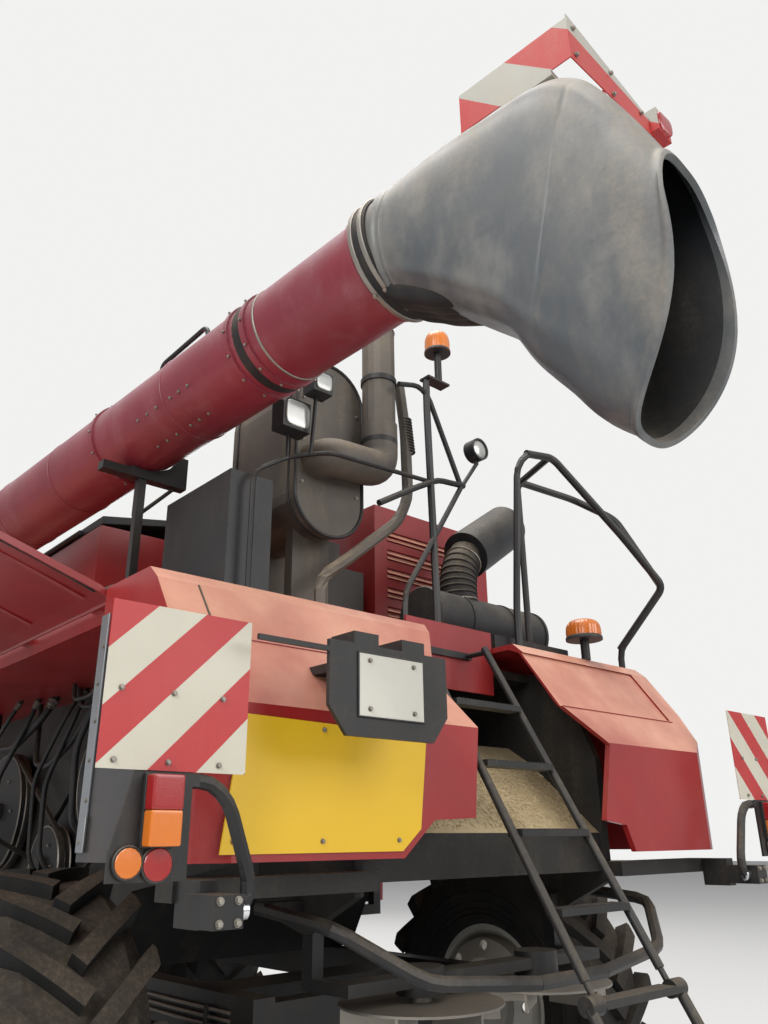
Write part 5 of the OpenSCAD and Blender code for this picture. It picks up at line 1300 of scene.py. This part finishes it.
def dress_cab():
    """Mirrors, roof lamps, wiper and window rubbers."""
    arms, heads, faces = [], [], []
    for side in (-1, 1):
        path = [mm(x, side * y, z) for x, y, z in ((1560, 1030, 3700), (1640, 1180, 3690), (1690, 1400, 3640),
                                                   (1695, 1440, 3500), (1695, 1440, 3040))]
        arms.append(swept(spline(path, 40), 0.013))
        heads.append(pillow(mm(1690, side * 1440, 3260), mm(32, 105, 190), (7.0, 5.0)))
        faces.append(pillow(mm(1662, side * 1440, 3260), mm(8, 92, 176), (8.0, 8.0)))
    add_piece("mirror_arms", joined(arms), dark_steel, "machine")
    add_piece("mirror_heads", joined(heads), black_plastic, "machine")
    add_piece("mirror_faces", joined(faces), mirror_silver, "machine")
    bodies, glasses = [], []
    for y in (-820, -600, 600, 820):
        bodies.append(pillow(mm(1668, y, 3700), mm(34, 78, 52), (6.0, 4.0)))
        glasses.append(pillow(mm(1698, y, 3700), mm(8, 66, 42), (7.0, 5.0)))
    for y in (-760, 760):
        bodies.append(pillow(mm(-236, y, 3718), mm(30, 70, 42), (6.0, 4.0)))
        glasses.append(pillow(mm(-263, y, 3718), mm(7, 60, 33), (7.0, 5.0)))
    add_piece("roof_lamps", joined(bodies), black_plastic, "machine")
    add_piece("roof_lamp_glasses", joined(glasses), lamp_glass, "machine")
    arm = [mm(x, y, z) for x, y, z in ((1408, 0, 2215), (1462, 60, 2380), (1492, 130, 2540))]
    blade = [mm(x, y, z) for x, y, z in ((1427, 150, 2300), (1484, 130, 2540), (1537, 110, 2770))]
    wiper = joined([swept(spline(arm, 20), 0.008), swept(spline(blade, 20), 0.006)])
    add_piece("wiper", wiper, black_rubber, "machine")
    rubbers = [swept(pane_outline(corners), 0.008, 8, hoop=True) for corners in PANES]
    add_piece("window_rubbers", joined(rubbers), black_rubber, "machine")


# Feeder, pipes and chaff.

FEEDER_TILT = math.radians(24)


def dress_feeder():
    """Bolts along both sides of the header's seat."""
    cos, sin = math.cos(FEEDER_TILT), math.sin(FEEDER_TILT)
    heads = []
    for side in (-1, 1):
        places = [mm(720 + 2120 * cos + up * sin, side * 720, 1620 - 2120 * sin + up * cos)
                  for up in range(-360, 320, 110)]
        heads.append(bolts(places, (0, side, 0), 0.014))
    add_piece("feeder_bolts", joined(heads), worn_steel, "feeder")


def dress_pipes():
    """Steel lines along the frame rails, with their clips."""
    lines, clips = [], []
    for side in (-1, 1):
        for z in (884, 912, 940):
            path = [mm(x, side * (688 + 6 * (k % 2)), z) for k, x in enumerate(range(-4150, -300, 350))]
            lines.append(swept(spline(path, 70), 0.007, 8))
        clips += [(mm(x, side * 690 - 11, 872), mm(x + 22, side * 690 + 13, 952))
                  for x in range(-4000, -400, 700)]
    add_piece("hydraulic_lines", joined(lines), worn_steel, "machine")
    add_piece("line_clips", boxes(clips), black_plastic, "machine", bevel=0.003)


# Columns: number of straws, middles of the bed's two ends, half width and depth.
CHAFF_BEDS = (
    (6200, mm(-4945, 0, 1592), mm(-4605, 0, 1894), 0.690, 0.012),
    (900, mm(-4410, -100, 2432), mm(-3780, -100, 2432), 0.350, 0.004),
)
STRAW_RADIUS = 0.0014
STRAW_FACES = [[0, 1, 4, 3], [1, 2, 5, 4], [2, 0, 3, 5], [3, 4, 7, 6], [4, 5, 8, 7], [5, 3, 6, 8],
               [2, 1, 0], [6, 7, 8]]


def straws(places, ways, lengths):
    """Bent three-sided straws at places, each along its way."""
    side = np.cross(ways, (0.1, 0.2, 0.97))
    side /= np.linalg.norm(side, axis=1)[:, None]
    lift = np.cross(side, ways)
    rings = []
    for share, rise in ((-0.5, 0.0), (0.0, 0.12), (0.5, 0.0)):
        middle = places + ways * (lengths * share)[:, None] + lift * (lengths * rise)[:, None]
        for angle in np.radians((90, 210, 330)):
            rings.append(middle + STRAW_RADIUS * (math.cos(angle) * side + math.sin(angle) * lift))
    points = np.stack(rings, axis=1)
    faces = [[i + 9 * k for i in loop] for k in range(len(points)) for loop in STRAW_FACES]
    return points.reshape(-1, 3), faces


def dress_chaff():
    """Chaff and short straw settled on the tailboard and on the deck behind the engine."""
    random = np.random.default_rng(7)
    shapes = []
    for count, low, high, across, depth in CHAFF_BEDS:
        share = random.random(count)[:, None] ** 0.8
        places = low + (high - low) * share
        places[:, 1] += (random.random(count) * 2 - 1) * across
        places[:, 2] += random.random(count) ** 2 * depth + 0.003
        slope = unit(high - low)
        heading = random.random(count) * 2 * math.pi
        ways = np.cos(heading)[:, None] * slope + np.sin(heading)[:, None] * np.array(LEFTWARD)
        ways[:, 2] += (random.random(count) - 0.5) * 0.25
        ways /= np.linalg.norm(ways, axis=1)[:, None]
        lengths = 0.006 + 0.030 * random.random(count) ** 3
        shapes.append(straws(places, ways, lengths))
    add_piece("settled_chaff", joined(shapes), chaff_straw, "machine", crease=80.0)


# Stage.

def lay_floor():
    """Pale floor, larger than the machine."""
    size = 60.0
    mesh = bpy.data.meshes.new("floor")
    corners = [(-size, -size, 0.0), (size, -size, 0.0), (size, size, 0.0), (-size, size, 0.0)]
    mesh.from_pydata(corners, [], [(0, 1, 2, 3)])
    floor = bpy.data.objects.new("floor", mesh)
    bpy.context.scene.collection.objects.link(floor)
    material = bpy.data.materials.new("pale floor")
    material.use_nodes = True
    skin = material.node_tree.nodes["Principled BSDF"]
    skin.inputs["Base Color"].default_value = (0.62, 0.61, 0.59, 1.0)
    skin.inputs["Roughness"].default_value = 0.85
    mesh.materials.append(material)


set_camera()
set_light()
dress_nodes()
dress_spout()
dress_tube()
dress_lamps()
dress_boards()
dress_panels()
dress_plate()
dress_cooler()
dress_exhaust()
dress_intake()
dress_deck()
dress_lines()
dress_wheels()
dress_drives()
dress_ladders()
dress_doors()
dress_seat()
dress_cab()
dress_feeder()
dress_pipes()
dress_chaff()
lay_floor()

bpy.context.scene.view_settings.view_transform = "Standard"
